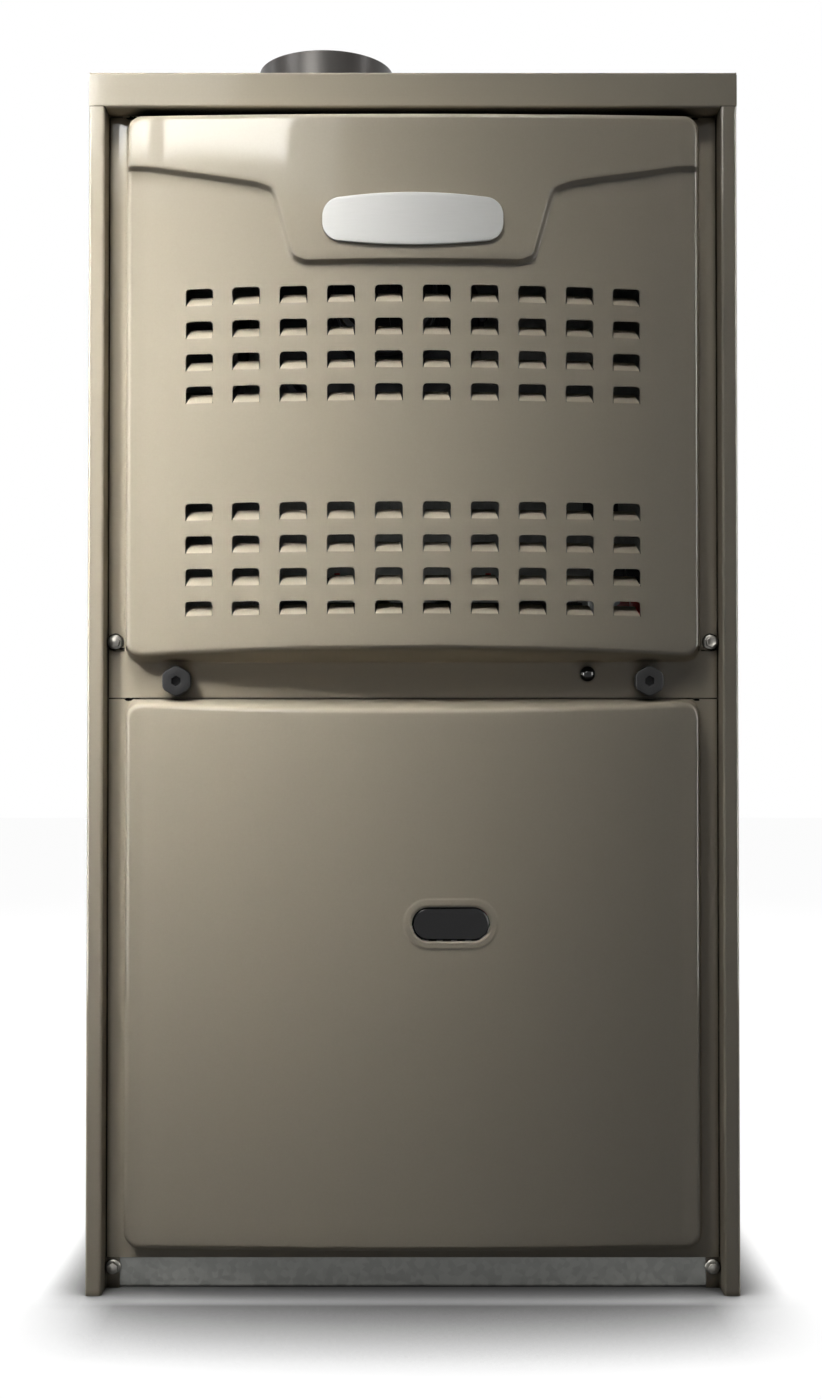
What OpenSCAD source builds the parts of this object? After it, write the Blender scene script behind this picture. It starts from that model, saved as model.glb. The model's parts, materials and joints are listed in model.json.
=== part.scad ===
// Upflow forced air gas furnace: folded sheet cabinet, two lift-off doors, vent collar,
// gas train, clamshell heat exchanger, draft inducer and circulating blower.
// Inside the modules, y is the depth behind the cabinet's front plane.

/* [Cabinet] */
// Width of the cabinet
cabinet_w = 446; // [434:1:460]
// Height of the cabinet without the vent collar
cabinet_h = 838; // [830:1:860]
// Depth of the cabinet from the front strips to the back panel
cabinet_d = 705; // [695:1:730]
// Thickness of the cabinet sheet
sheet_t = 1; // [0.8:0.1:1.2]
// Outer bend radius of the folded sheets
bend_r = 2; // [1.6:0.1:3]
// Width of the painted strips beside the doors
strip_w = 11; // [10:0.5:14]
// Depth from the strips' front to the ledge that the doors lie on
ledge_depth = 18; // [16:0.5:20]
// Width of the ledge that the doors lie on
ledge_w = 9.5; // [8.5:0.5:11]
// Width of the flanges around the supply opening and at the floor
duct_flange_w = 15; // [12:1:18]
// Height of the top cap's front face
cap_h = 24.6; // [22:0.2:28]
// Height by which the top cap's lower edge is set back over the strips
cap_step = 1.2; // [0.8:0.1:1.6]
// Height of the seam between the two doors
seam_z = 406.8; // [400:0.2:412]
// Depth of the burner compartment, from the front plane to its rear wall
vestibule_d = 196; // [190:1:202]
// Height of the bare cap strip below the lower door
bottom_strip_h = 21.3; // [18:0.1:24]

/* [Doors] */
// Thickness of the door sheet
door_t = 1.2; // [1:0.1:1.4]
// Gap between a door's flange and the strips beside it
door_gap = 1; // [0.8:0.1:2]
// Width of the flat flange at the doors' sides
side_flange_w = 12.3; // [11:0.1:14]
// Height of the upper door's bottom flange
bottom_flange_h = 25.6; // [24:0.2:30]
// Height of the lower door's bottom flange
lower_flange_h = 7.5; // [5:0.5:10]
// Distance of the crown's front line before the cabinet's front plane
crown_proud = 19; // [15:0.5:22]
// Radius of the doors' crown, which bends about an upright axis
crown_r = 888; // [860:1:940]
// Draft angle of the drawn walls at the sides
draft = 8; // [6:0.5:10]
// Draft angle of the drawn upper and lower walls
level_draft = 11.5; // [9:0.5:13]
// Draft angle of the upper door's top wall
crest_draft = 15.5; // [13:0.5:17]
// Radius of the drawn edges
edge_r = 3.4; // [2.6:0.1:5]
// Corner radius of the drawn outline
corner_r = 9; // [7:0.5:12]
// Height of the raised crest over the door's crown
crest_proud = 3.5; // [2.5:0.1:4.5]
// Corner radius of the crest's lower edge
crest_r = 9; // [4:0.5:10]

/* [Louvres] */
// Number of louvres in a row
louvre_columns = 10; // [8:2:10]
// Number of rows in each of the two groups, where the door is high enough
louvre_rows = 4; // [3:1:4]
// Distance from one louvre to the next in a row
louvre_pitch_x = 32.4; // [30:0.2:34]
// Distance from one row to the next
louvre_pitch_z = 22.3; // [20:0.1:23]
// Width of a louvre's opening
louvre_w = 19; // [16:0.5:21]
// Height of a louvre's opening
louvre_h = 11.8; // [10:0.2:13]
// Radius of an opening's upper corners
louvre_r = 2.5; // [1.5:0.1:3.5]
// Inward lean of a louvre's tongue from the upright
tongue_lean = 45; // [35:1:55]
// Height of the lowest row over the door seam
louvre_first_z = 53.7; // [48:0.1:60]
// Distance from the upper group's top edge to the crest's lower edge
louvre_crest_gap = 15.4; // [12:0.1:20]
// Least height that stays closed between the two groups
louvre_middle = 40; // [30:1:60]

/* [Trim] */
// Width of the bare badge plate
badge_w = 122.3; // [100:0.1:130]
// Height of the badge plate in its middle
badge_h = 35.5; // [28:0.1:38]
// Thickness of the badge plate
badge_t = 2.2; // [1.6:0.1:2.4]
// Height of the badge's middle below the cabinet's top
badge_drop = 108.5; // [106:0.1:112]
// Width of the sight window
window_w = 52; // [44:0.5:58]
// Height of the sight window
window_h = 22; // [18:0.5:26]
// Distance of the sight window's middle to the right of the door's middle
window_x = 25.5; // [0:0.5:40]
// Height of the sight window's middle
window_z = 254.5; // [240:0.5:270]
// Width of the drawn rim around the sight window
window_rim = 5.6; // [4.5:0.1:7]
// Height of the drawn rim over the lower door's crown
window_raise = 0.6; // [0.4:0.1:0.8]
// Diameter of the latch knobs
knob_d = 19.2; // [17:0.1:20.5]
// Length of the latch knobs
knob_len = 12; // [9:0.5:14]
// Distance of the latch knobs in from the side ledges
knob_in = 39.8; // [30:0.1:50]
// Height of the latch knobs over the door seam
knob_rise = 11.8; // [9:0.1:13]
// Diameter of the latch studs
stud_d = 6; // [5:0.5:7]

/* [Vent] */
// Outer diameter of the vent collar
vent_d = 101.6; // [100:0.1:103]
// Height of the vent collar over the cabinet
vent_rise = 48; // [38:1:52]
// Distance of the vent collar to the left of the cabinet's middle
vent_left = 66; // [60:1:70]
// Depth of the vent collar's axis behind the front plane
vent_depth = 132; // [128:0.5:134]
// Wall of the vent collar
vent_t = 1; // [0.8:0.1:1.2]
// Tip radius of the draft inducer's wheel
inducer_wheel_r = 50; // [46:1:52]
// Diameter of the draft inducer's shaft
inducer_shaft_d = 8; // [6.4:0.1:9]

/* [Heating section] */
// Number of clamshell sections, each with its own burner
cells = 4; // [4:1:4]
// Distance from one clamshell section to the next
cell_pitch = 60; // [56:1:62]
// Width of a clamshell section's passes
cell_w = 32; // [28:1:36]
// Wall of the clamshell sections
cell_t = 1.2; // [1:0.1:1.6]
// Height of the burners over the blower deck
burner_rise = 54; // [50:0.5:58]
// Thickness of the insulation blanket
blanket_t = 8; // [6:1:10]
// Outer diameter of the gas manifold pipe
manifold_d = 21.3; // [19:0.1:24]
// Radius of the gas valve's inlet bore
gas_inlet_r = 9.2; // [8:0.1:10]
// Radius of the gas pipe hole in the cabinet's side
gas_hole_r = 19; // [16:0.5:22]
// Radius of the wiring knockout in the cabinet's side
knockout_r = 11.1; // [10:0.1:14]

/* [Blower] */
// Diameter of the blower wheel
wheel_d = 254; // [240:1:260]
// Width of the blower wheel
wheel_w = 196; // [180:1:200]
// Number of blades on the blower wheel
blades = 36; // [30:1:42]
// Width of the blower housing
housing_w = 212; // [208:1:220]
// Widest radius of the blower scroll
scroll_r = 185; // [182:1:190]
// Distance from the blower's shaft up to the blower deck
shaft_drop = 196; // [190:1:200]
// Depth of the blower's shaft behind the front plane
shaft_depth = 400; // [380:1:420]
// Diameter of the blower shaft
shaft_d = 12.7; // [11:0.1:14]
// Diameter of the blower motor
motor_d = 140; // [130:1:146]
// Length of the blower motor
motor_len = 118; // [100:1:124]

/* [Fits] */
// Radial running clearance of the shafts
run_fit = 0.05; // [0.03:0.01:0.1]
// Gap between seated pieces that aren't face to face
seat_gap = 0.3; // [0.2:0.05:0.4]

/* [Hidden] */
$fn = 64;

// Fold steps along a bend, and steps along a scroll's spiral
bend_steps = 5;
spiral_steps = 36;
// Fineness of the crown's revolves
crown_fn = 360;
crown_sweep = 40;
// Amount by which a cut runs past a face
past = 1;

half_w = cabinet_w / 2;
inner_half_w = half_w - sheet_t;
// The model's front limit is the badge's face, and the origin lies midway to the back
badge_seat = 0.1;
front_limit = crown_proud + crest_proud + badge_seat + badge_t;
front_y = -(cabinet_d + front_limit) / 2 + front_limit;

// Folded cabinet
mid_bend_r = bend_r - sheet_t / 2;
strip_in = half_w - strip_w;
ledge_in = strip_in - ledge_w;
cap_z = cabinet_h - cap_h;
back_e = cabinet_d - sheet_t;

// Blower deck and the rail at the door seam
deck_top = seam_z + 6;
deck_under = deck_top - sheet_t;
rail_e = ledge_depth;
rail_back_e = ledge_depth + 18;
rail_low = seam_z - 5.5;
rail_high = seam_z + bottom_flange_h + 3;

// Doors
door_half_w = strip_in - door_gap;
door_rear = ledge_depth;
door_front = door_rear - door_t;
bulge_half_w = door_half_w - side_flange_w;
crown_axis_e = crown_r - crown_proud;
base_r = crown_axis_e - door_front;
upper_low = seam_z + 0.5;
upper_high = cap_z - 1.2;
upper_bulge_low = seam_z + bottom_flange_h;
upper_bulge_high = upper_high - 0.2;
lower_high = seam_z - 0.5;
lower_low = bottom_strip_h;
lower_bulge_low = lower_low + lower_flange_h;
crest_low_z = cabinet_h - 136.5;
screw_z = seam_z + 39;
washer_r = 5.1;
screw_x = strip_in - washer_r - 0.15;
notch_r = 6.2;
base_screw_z = 14.5;
knob_z = seam_z + knob_rise;
knob_x = ledge_in - knob_in;
plug_x = knob_x - 41.7;
plug_z = seam_z + 16.9;

// Vent, inducer and collector box
vent_r = vent_d / 2;
vent_top = cabinet_h + vent_rise;
vent_hole_r = vent_r + 1.2;
inducer_z = cabinet_h - 138;
inducer_scroll_r = inducer_wheel_r + 44;
inducer_x = -vent_left - vent_r + 3 + inducer_scroll_r;
inducer_duct_w = 2 * (vent_r - 3);
inducer_front = vent_depth - 28;
inducer_rear = vent_depth + 28;
inducer_t = 2;
duct_top_z = cabinet_h - 62;
spigot_r = vent_r - 2 * vent_t - seat_gap;
box_front = inducer_rear + 1;
box_low = cabinet_h - 165;
box_high = cabinet_h - 72;
outlet_z = cabinet_h - 103;
burner_z = deck_top + burner_rise;
limit_x = inner_half_w - 72;
limit_z = burner_z + 110;

// Gas train
rack_e = vestibule_d - 20;
rack_half_w = 1.5 * cell_pitch + 36;
rack_half_h = 26;
manifold_e = 72;
manifold_r = manifold_d / 2;
valve_left = 1.5 * cell_pitch + 33;
valve_w = 66;
valve_front = 42;
valve_rear = 104;
boss_end = manifold_e + manifold_r + 5;

// Blower
shaft_z = deck_under - shaft_drop;
wheel_r = wheel_d / 2;
housing_t = 1.5;
scroll_start_r = wheel_r + 13;
inlet_r = wheel_r - 26;

function unit(v) = v / norm(v);
function left_of(v) = [-v[1], v[0]];
function turned(v, a) = [v[0] * cos(a) - v[1] * sin(a), v[0] * sin(a) + v[1] * cos(a)];
function turn_angle(u, v) = atan2(u[0] * v[1] - u[1] * v[0], u * v);
// Points of one rounded corner at p, from direction u to direction v, at distance d to
// the left of the path
function corner(p, u, v, r, d) =
    let (a = turn_angle(u, v), s = sign(a), c = p - u * r * tan(abs(a) / 2) + left_of(u) * r * s)
    [for (k = [0 : bend_steps]) c + turned(-left_of(u) * s * (r - s * d), a * k / bend_steps)];
// Points of an open path with rounded corners, at distance d to its left
function rounded_path(path, r, d = 0) =
    let (n = len(path) - 1)
    concat(
        [path[0] + left_of(unit(path[1] - path[0])) * d],
        [for (i = [1 : n - 1])
            each corner(path[i], unit(path[i] - path[i - 1]), unit(path[i + 1] - path[i]), r, d)],
        [path[n] + left_of(unit(path[n] - path[n - 1])) * d]
    );
function reversed(list) = [for (i = [len(list) - 1 : -1 : 0]) list[i]];
function mirrored(path) = [for (p = reversed(path)) [-p[0], p[1]]];

// Section of a folded sheet whose middle line is the path
module folded(path, t = sheet_t, r = mid_bend_r) {
    polygon(concat(rounded_path(path, r, t / 2), reversed(rounded_path(path, r, -t / 2))));
}

// Extrudes a section drawn in depth and height along the width, between two x values
module along_x(x0, x1) {
    translate([x0, 0, 0])
        rotate([90, 0, 90])
            linear_extrude(x1 - x0) children();
}

// Extrudes an outline drawn in width and height along the depth
module along_y(e0, e1) {
    translate([0, e1, 0])
        rotate([90, 0, 0])
            linear_extrude(e1 - e0) children();
}

// Round bar from depth e0 to e1
module bar_y(r, e0, e1) {
    translate([0, e0, 0])
        rotate([-90, 0, 0])
            cylinder(h = e1 - e0, r = r);
}

// Round bar from x0 to x1
module bar_x(r, x0, x1) {
    translate([x0, 0, 0])
        rotate([0, 90, 0])
            cylinder(h = x1 - x0, r = r);
}

// Box between two corners
module block(low, high) {
    translate(low)
        cube(high - low);
}

// Sets a piece's colour and puts the front plane in its place
module placed(c) {
    color(c)
        translate([0, front_y, 0]) children();
}

module rounded_rect(w, h, r) {
    square([w - 2 * r, h], center = true);
    square([w, h - 2 * r], center = true);
    for (x = [-1, 1], z = [-1, 1])
        translate([x * (w / 2 - r), z * (h / 2 - r)])
            circle(r);
}

module stadium(w, h) {
    square([w - h, h], center = true);
    for (x = [-1, 1])
        translate([x * (w - h) / 2, 0])
            circle(h / 2);
}

// ---- Cabinet ----

module side_panel() {
    x_mid = half_w - sheet_t / 2;
    ledge_path = [
        [ledge_in, ledge_depth + sheet_t / 2], [strip_in + sheet_t / 2, ledge_depth + sheet_t / 2],
        [strip_in + sheet_t / 2, sheet_t / 2], [x_mid, sheet_t / 2],
        [x_mid, back_e - sheet_t / 2], [half_w - duct_flange_w, back_e - sheet_t / 2]
    ];
    difference() {
        union() {
            linear_extrude(cap_z + cap_step - seat_gap) folded(ledge_path);
            // Wall beside the top cap, and the flanges of the supply opening and the floor
            block([inner_half_w, sheet_t + seat_gap, cap_z - past], [half_w, back_e, cabinet_h]);
            block([half_w - duct_flange_w, vestibule_d + 1, cabinet_h - sheet_t],
                [inner_half_w + sheet_t / 2, back_e - sheet_t, cabinet_h]);
            block([half_w - duct_flange_w, ledge_depth + 30, 0],
                [inner_half_w + sheet_t / 2, back_e - sheet_t, sheet_t]);
        }
        // Gas pipe hole and wiring knockout
        translate([0, manifold_e, burner_z])
            bar_x(gas_hole_r, inner_half_w - past, half_w + past);
        translate([0, manifold_e, burner_z + 90])
            bar_x(knockout_r, inner_half_w - past, half_w + past);
    }
}

module left_side_panel() {
    placed("#9a9384")
        mirror([1, 0, 0]) side_panel();
}

module right_side_panel() {
    placed("#9a9384") side_panel();
}

module back_panel() {
    placed("#8f897b") {
        block([-half_w, back_e, 0], [half_w, cabinet_d, cabinet_h]);
        block([-half_w + duct_flange_w + seat_gap, back_e - duct_flange_w, cabinet_h - sheet_t],
            [half_w - duct_flange_w - seat_gap, back_e, cabinet_h]);
        block([-half_w + duct_flange_w + seat_gap, back_e - duct_flange_w, 0],
            [half_w - duct_flange_w - seat_gap, back_e, sheet_t]);
    }
}

module top_cap() {
    cap_path = [
        [ledge_depth - sheet_t, cap_z + sheet_t / 2], [sheet_t / 2, cap_z + sheet_t / 2],
        [sheet_t / 2, cabinet_h - sheet_t / 2], [vestibule_d, cabinet_h - sheet_t / 2]
    ];
    placed("#9a9384")
        difference() {
            union() {
                along_x(-inner_half_w + seat_gap, inner_half_w - seat_gap) folded(cap_path);
                // The front face covers the ends of the side panels
                for (side = [0, 1])
                    mirror([side, 0, 0])
                        block([inner_half_w - bend_r, 0, cap_z + cap_step], [half_w, sheet_t, cabinet_h - bend_r]);
            }
            // Step over the side panels' strips
            for (side = [0, 1])
                mirror([side, 0, 0])
                    block([strip_in - seat_gap, -past, cap_z - past], [half_w + past, ledge_depth, cap_z + cap_step]);
            translate([-vent_left, vent_depth, cabinet_h - sheet_t - past])
                cylinder(h = sheet_t + 2 * past, r = vent_hole_r);
        }
}

// Round collar over the inducer's spigot: its flange rests on the top cap, the skirt
// below the flange is necked in by one wall, and the vent connector slips over the top
module vent_collar() {
    bore = vent_r - vent_t;
    skirt_low = duct_top_z + 9;
    flange_r = vent_r + 11;
    flange_top = cabinet_h + vent_t;
    placed("#2b2a28")
        translate([-vent_left, vent_depth, 0])
            rotate_extrude($fn = 96)
                polygon([
                    [bore - vent_t, skirt_low], [bore, skirt_low], [bore, cabinet_h], [flange_r, cabinet_h],
                    [flange_r, flange_top], [vent_r, flange_top], [vent_r, vent_top], [bore, vent_top],
                    [bore, flange_top], [bore - vent_t, flange_top]
                ]);
}

module vestibule_panel() {
    panel_path = [
        [vestibule_d - 10, cabinet_h - 1.6 * sheet_t], [vestibule_d - sheet_t / 2, cabinet_h - 1.6 * sheet_t],
        [vestibule_d - sheet_t / 2, deck_top + sheet_t / 2], [vestibule_d - 14, deck_top + sheet_t / 2]
    ];
    placed("#a9a89f")
        difference() {
            along_x(-inner_half_w + seat_gap, inner_half_w - seat_gap) folded(panel_path);
            each_cell() {
                translate([0, 0, burner_z])
                    bar_y(cell_w / 2, vestibule_d - 2, vestibule_d + past);
                translate([0, 0, outlet_z])
                    bar_y(cell_w / 2 - 4, vestibule_d - 2, vestibule_d + past);
            }
            translate([limit_x, 0, limit_z])
                bar_y(9, vestibule_d - 2, vestibule_d + past);
        }
}

// Repeats a piece for every clamshell section
module each_cell() {
    for (i = [0 : cells - 1])
        translate([cell_x(i), 0, 0]) children();
}

function cell_x(i) = (i - (cells - 1) / 2) * cell_pitch;

// Floor of the heating section, with runners that carry the blower housing's flange
module blower_deck() {
    deck_path = [
        [rail_back_e + sheet_t / 2, deck_top + 16], [rail_back_e + sheet_t / 2, deck_top - sheet_t / 2],
        [back_e - sheet_t - seat_gap, deck_top - sheet_t / 2]
    ];
    runner_path = [
        [-runner_lip, 0], [0, 0], [0, runner_h], [9, runner_h]
    ];
    placed("#a9a89f")
        difference() {
            union() {
                along_x(-inner_half_w + seat_gap, inner_half_w - seat_gap) folded(deck_path);
                for (side = [0, 1])
                    mirror([side, 0, 0])
                        translate([runner_x, 0, deck_under - runner_h - sheet_t / 4])
                            along_y(flange_front, flange_rear + 4) folded(runner_path);
            }
            block([-housing_w / 2 + housing_t, shaft_depth - scroll_r + housing_t, deck_under - past],
                [housing_w / 2 - housing_t, shaft_depth - housing_t, deck_top + past]);
        }
}

runner_lip = 9;
runner_h = 7;
runner_x = housing_w / 2 + 12;
flange_front = shaft_depth - scroll_r - 12;
flange_rear = shaft_depth + 14;

// Rail behind the door seam: the doors lie on it and the latch studs pass through it
module centre_rail() {
    rail_path = [
        [rail_back_e, rail_low + sheet_t / 2], [rail_e + sheet_t / 2, rail_low + sheet_t / 2],
        [rail_e + sheet_t / 2, rail_high - sheet_t / 2], [rail_back_e, rail_high - sheet_t / 2]
    ];
    placed("#958e80")
        difference() {
            along_x(-ledge_in + seat_gap, ledge_in - seat_gap) folded(rail_path);
            for (side = [-1, 1])
                translate([side * knob_x, 0, knob_z])
                    bar_y(stud_d / 2 + seat_gap, rail_e - past, rail_e + sheet_t + past);
            translate([plug_x, 0, plug_z])
                bar_y(5, rail_e - past, rail_e + sheet_t + past);
        }
}

module bottom_panel() {
    panel_path = [
        [ledge_depth + 34, 14], [ledge_depth + 34, 1.5 * sheet_t], [back_e - 2 * sheet_t, 1.5 * sheet_t]
    ];
    placed("#b4b6b5")
        along_x(-inner_half_w + 2, inner_half_w - 2) folded(panel_path);
}

// Bare strip below the lower door, behind the ledges
module bottom_cap() {
    cap_e = ledge_depth + 1.5 * sheet_t;
    cap_path = [
        [cap_e + 24, sheet_t / 2], [cap_e, sheet_t / 2], [cap_e, bottom_strip_h + 16],
        [cap_e + 14, bottom_strip_h + 16]
    ];
    placed("#a7abac")
        along_x(-strip_in + 1, strip_in - 1) folded(cap_path);
}

// Hex washer head screws that hold the doors' ledges and the bottom cap
module cabinet_screws() {
    placed("#b9bcbd")
        for (x = [-screw_x, screw_x], z = [screw_z, base_screw_z])
            translate([x, ledge_depth, z])
                rotate([90, 0, 0]) {
                    cylinder(h = 0.8, r1 = washer_r - 1, r2 = washer_r);
                    translate([0, 0, 0.7])
                        cylinder(h = 0.6, r = washer_r);
                    translate([0, 0, 1.2])
                        cylinder(h = 4.3, r = 4, $fn = 6);
                }
}

// ---- Doors ----

// Half section of the drawn pan in width and depth, from the wall's foot to the middle:
// a drafted wall, a rounded edge and the crown's tangent, which the crown then trims
function pan_half(d) =
    let (
        foot = [bulge_half_w - d, door_rear + past],
        touch_x = bulge_half_w - edge_r - 2.5,
        touch = [touch_x, crown_axis_e - sqrt(pow(crown_r + crest_proud - d, 2) - pow(touch_x, 2))],
        slope = touch_x / sqrt(pow(crown_r - d, 2) - pow(touch_x, 2)),
        lean = tan(draft),
        // Where the wall's line meets the tangent's line
        x = (touch[1] - door_front - slope * touch_x + (bulge_half_w - d) / lean) / (1 / lean - slope),
        e = touch[1] + slope * (x - touch_x)
    )
    rounded_path([foot, [bulge_half_w - d, door_front], [x, e], [0, touch[1] - slope * touch_x]],
        edge_r - d);

// Section of the crown about its axis, with drafted and rounded upper and lower walls
module crown_section(low, high, r, d, top_draft) {
    depth = r - base_r;
    inner = base_r - 6;
    path = [
        [inner, low + d], [base_r, low + d], [r - d, low + depth * tan(level_draft) + d],
        [r - d, high - depth * tan(top_draft) - d], [base_r, high - d], [inner, high - d]
    ];
    polygon(rounded_path(path, edge_r - d));
}

// Revolves a section about the crown's axis, as far as the doors reach
module about_crown() {
    translate([0, crown_axis_e, 0])
        rotate([0, 0, -90 - crown_sweep / 2])
            rotate_extrude(angle = crown_sweep, $fn = crown_fn) children();
}

// Slice of the crown between two radii, cut to an outline drawn in width and height
module crown_slab(r0, r1, z0, z1) {
    intersection() {
        about_crown()
            translate([r0, z0])
                square([r1 - r0, z1 - z0]);
        along_y(-front_limit - past, door_rear) children();
    }
}

// Outline of the drawn pan with rounded corners
module pan_outline(low, high, d) {
    translate([0, (low + high) / 2])
        rounded_rect(2 * (bulge_half_w - d), high - low - 2 * d, corner_r - d);
}

// Solid within the drawn pan, d under the outer face
module pan(low, high, proud, d, top_draft = level_draft) {
    half = pan_half(d);
    intersection() {
        translate([0, 0, low - past])
            linear_extrude(high - low + 2 * past)
                polygon(concat(half, mirrored(half)));
        about_crown() crown_section(low, high, crown_r + proud, d, top_draft);
        along_y(-front_limit - past, door_rear + past) pan_outline(low, high, d);
    }
}

// Lower edge of the raised crest: wings that slope to the sides and a deep middle
crest_points = [
    [bulge_half_w + past, 67.6], [bulge_half_w - 11.7, 69.2], [108, 54.6], [95, 49.6],
    [82, 3.6], [73, 0]
];
module crest_outline(d) {
    half = [for (p = crest_points) [p[0] - d, crest_low_z + p[1] + d]];
    side = rounded_path(concat(half, [[0, crest_low_z + d]]), crest_r);
    edge = side[0][0];
    polygon(concat([[edge, cabinet_h]], side, mirrored(side), [[-edge, cabinet_h]]));
}

module crest(d) {
    intersection() {
        pan(upper_bulge_low, upper_bulge_high, crest_proud, d, crest_draft);
        along_y(-front_limit - past, door_rear + past) crest_outline(d);
    }
}

function louvre_x(i) = (i - (louvre_columns - 1) / 2) * louvre_pitch_x;
louvre_low_z = seam_z + louvre_first_z;
louvre_high_z = crest_low_z - louvre_crest_gap;
louvre_fit = floor((louvre_high_z - louvre_low_z - louvre_middle) / 2 / louvre_pitch_z);
rows = min(louvre_rows, louvre_fit);
function louvre_z(row, group) =
    group == 0 ? louvre_low_z + row * louvre_pitch_z
    : louvre_high_z - louvre_h - (rows - 1 - row) * louvre_pitch_z;

// Opening with rounded upper corners, standing on its bend line
module louvre_opening() {
    translate([-louvre_w / 2, 0]) {
        square([louvre_w, louvre_h - louvre_r]);
        translate([louvre_r, 0])
            square([louvre_w - 2 * louvre_r, louvre_h]);
    }
    for (side = [-1, 1])
        translate([side * (louvre_w / 2 - louvre_r), louvre_h - louvre_r])
            circle(louvre_r, $fn = 24);
}

// Front view of a tongue, which narrows towards its inner end
module tongue_outline() {
    foot = louvre_w / 2 - 0.4;
    tip = foot - 2;
    rise = (louvre_h - 1) * cos(tongue_lean) + door_t;
    polygon([[-foot, -past], [foot, -past], [tip, rise], [-tip, rise]]);
}

// Leaning strip behind one row of openings, before it is cut into tongues
module tongue_strip(z) {
    inset = 0.15;
    reach = louvre_h - 1.5;
    back = [-sin(tongue_lean), cos(tongue_lean)];
    skin = [crown_r - inset, z + 0.3];
    thick = (door_t - 2 * inset);
    about_crown()
        polygon([
            skin - [0, 1.2], skin, skin + back * reach,
            skin + back * reach - [cos(tongue_lean), sin(tongue_lean)] * thick,
            skin - [thick, thick * tan(tongue_lean / 2)], skin - [thick, 1.2]
        ]);
}

module louvre_tongues() {
    for (group = [0, 1], row = [0 : rows - 1])
        intersection() {
            tongue_strip(louvre_z(row, group));
            along_y(-crown_proud - past, door_rear + past)
                for (i = [0 : louvre_columns - 1])
                    translate([louvre_x(i), louvre_z(row, group)])
                        tongue_outline();
        }
}

// Flat flange of a door: a sheet with its screw notches and latch holes still to cut
module door_flange(low, high) {
    along_y(door_front, door_rear)
        translate([0, (low + high) / 2])
            rounded_rect(2 * door_half_w, high - low, 3);
}

module upper_door_panel() {
    placed("#9a9384") {
        difference() {
            union() {
                door_flange(upper_low, upper_high);
                pan(upper_bulge_low, upper_bulge_high, 0, 0, crest_draft);
                crest(0);
            }
            pan(upper_bulge_low, upper_bulge_high, 0, door_t, crest_draft);
            crest(door_t);
            // Everything behind the flange's rear face is open
            block([-half_w, door_rear, upper_low], [half_w, door_rear + 20, cabinet_h]);
            along_y(-crown_proud - past, door_front - 4)
                for (group = [0, 1], row = [0 : rows - 1], i = [0 : louvre_columns - 1])
                    translate([louvre_x(i), louvre_z(row, group)])
                        louvre_opening();
            for (side = [-1, 1]) {
                translate([side * screw_x, 0, screw_z]) {
                    bar_y(notch_r, door_front - past, door_rear + past);
                    translate([side * 10, 0, 0])
                        block([-10, door_front - past, -notch_r], [10, door_rear + past, notch_r]);
                }
                translate([side * knob_x, 0, knob_z])
                    bar_y(stud_d / 2 + seat_gap, door_front - past, door_rear + past);
            }
            translate([plug_x, 0, plug_z])
                bar_y(2.6, door_front - past, door_rear + past);
        }
        louvre_tongues();
    }
}

// Outline around the sight window, so far outside its glass
module window_outline(out) {
    translate([window_x, window_z])
        stadium(window_w + 2 * out, window_h + 2 * out);
}

module lower_door_panel() {
    // The lower door's pan starts at the seam, and a flange turns down behind its upper wall
    placed("#9a9384")
        difference() {
            union() {
                door_flange(lower_low, lower_high);
                pan(lower_bulge_low, lower_high, 0, 0);
                crown_slab(crown_r - door_t / 2, crown_r + window_raise, 0, seam_z)
                    window_outline(window_rim);
            }
            crown_slab(crown_r - door_t - past, crown_r + window_raise - door_t, 0, seam_z)
                window_outline(window_rim - door_t);
            difference() {
                pan(lower_bulge_low, lower_high, 0, door_t);
                block([-half_w, door_front, lower_high - 16], [half_w, door_rear + 2 * past, cabinet_h]);
            }
            block([-half_w, door_rear, 0], [half_w, door_rear + 20, cabinet_h]);
            along_y(-crown_proud - 2 * past, door_front) window_outline(seat_gap);
        }
}

// A quarter of an outline with a rounded end and a bowed upper edge, from the end inwards
function bowed_quarter(w, h, r, bow) =
    let (run = w / 2 - r)
    concat(
        [for (a = [0 : 15 : 75]) [run + r * cos(a), h / 2 - bow - r + r * sin(a)]],
        [for (i = [6 : -1 : 0]) [run * i / 6, h / 2 - bow * pow(i / 6, 2)]]
    );

module badge_outline(d) {
    quarter = bowed_quarter(badge_w - 2 * d, badge_h - 2 * d, 8 - d, 2.4);
    upper = concat(quarter, [for (p = reversed(quarter)) [-p[0], p[1]]]);
    polygon(concat(upper, [for (p = reversed(upper)) [p[0], -p[1]]]));
}

// Bare plate with a raised rim, bowed like the crest that it lies on
module badge() {
    seat_r = crown_r + crest_proud + badge_seat;
    z = cabinet_h - badge_drop;
    placed("#d6d6d4")
        difference() {
            crown_slab(seat_r, seat_r + badge_t, z - badge_h, z + badge_h)
                translate([0, z]) badge_outline(0);
            crown_slab(seat_r + badge_t - 0.6, seat_r + badge_t + past, z - badge_h, z + badge_h)
                translate([0, z]) badge_outline(2.2);
        }
}

// Domed plug in the upper door's bottom flange
module plug_button() {
    placed("#141414")
        translate([plug_x, door_front, plug_z])
            rotate([90, 0, 0]) {
                rotate_extrude()
                    intersection() {
                        union() {
                            square([5.2, 4.2]);
                            translate([0, 4.2 - 1.6])
                                circle(5.45);
                        }
                        square([5.2, 12]);
                    }
                translate([0, 0, -door_t - 4])
                    cylinder(h = door_t + 4.1, r = 2.5);
            }
}

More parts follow.
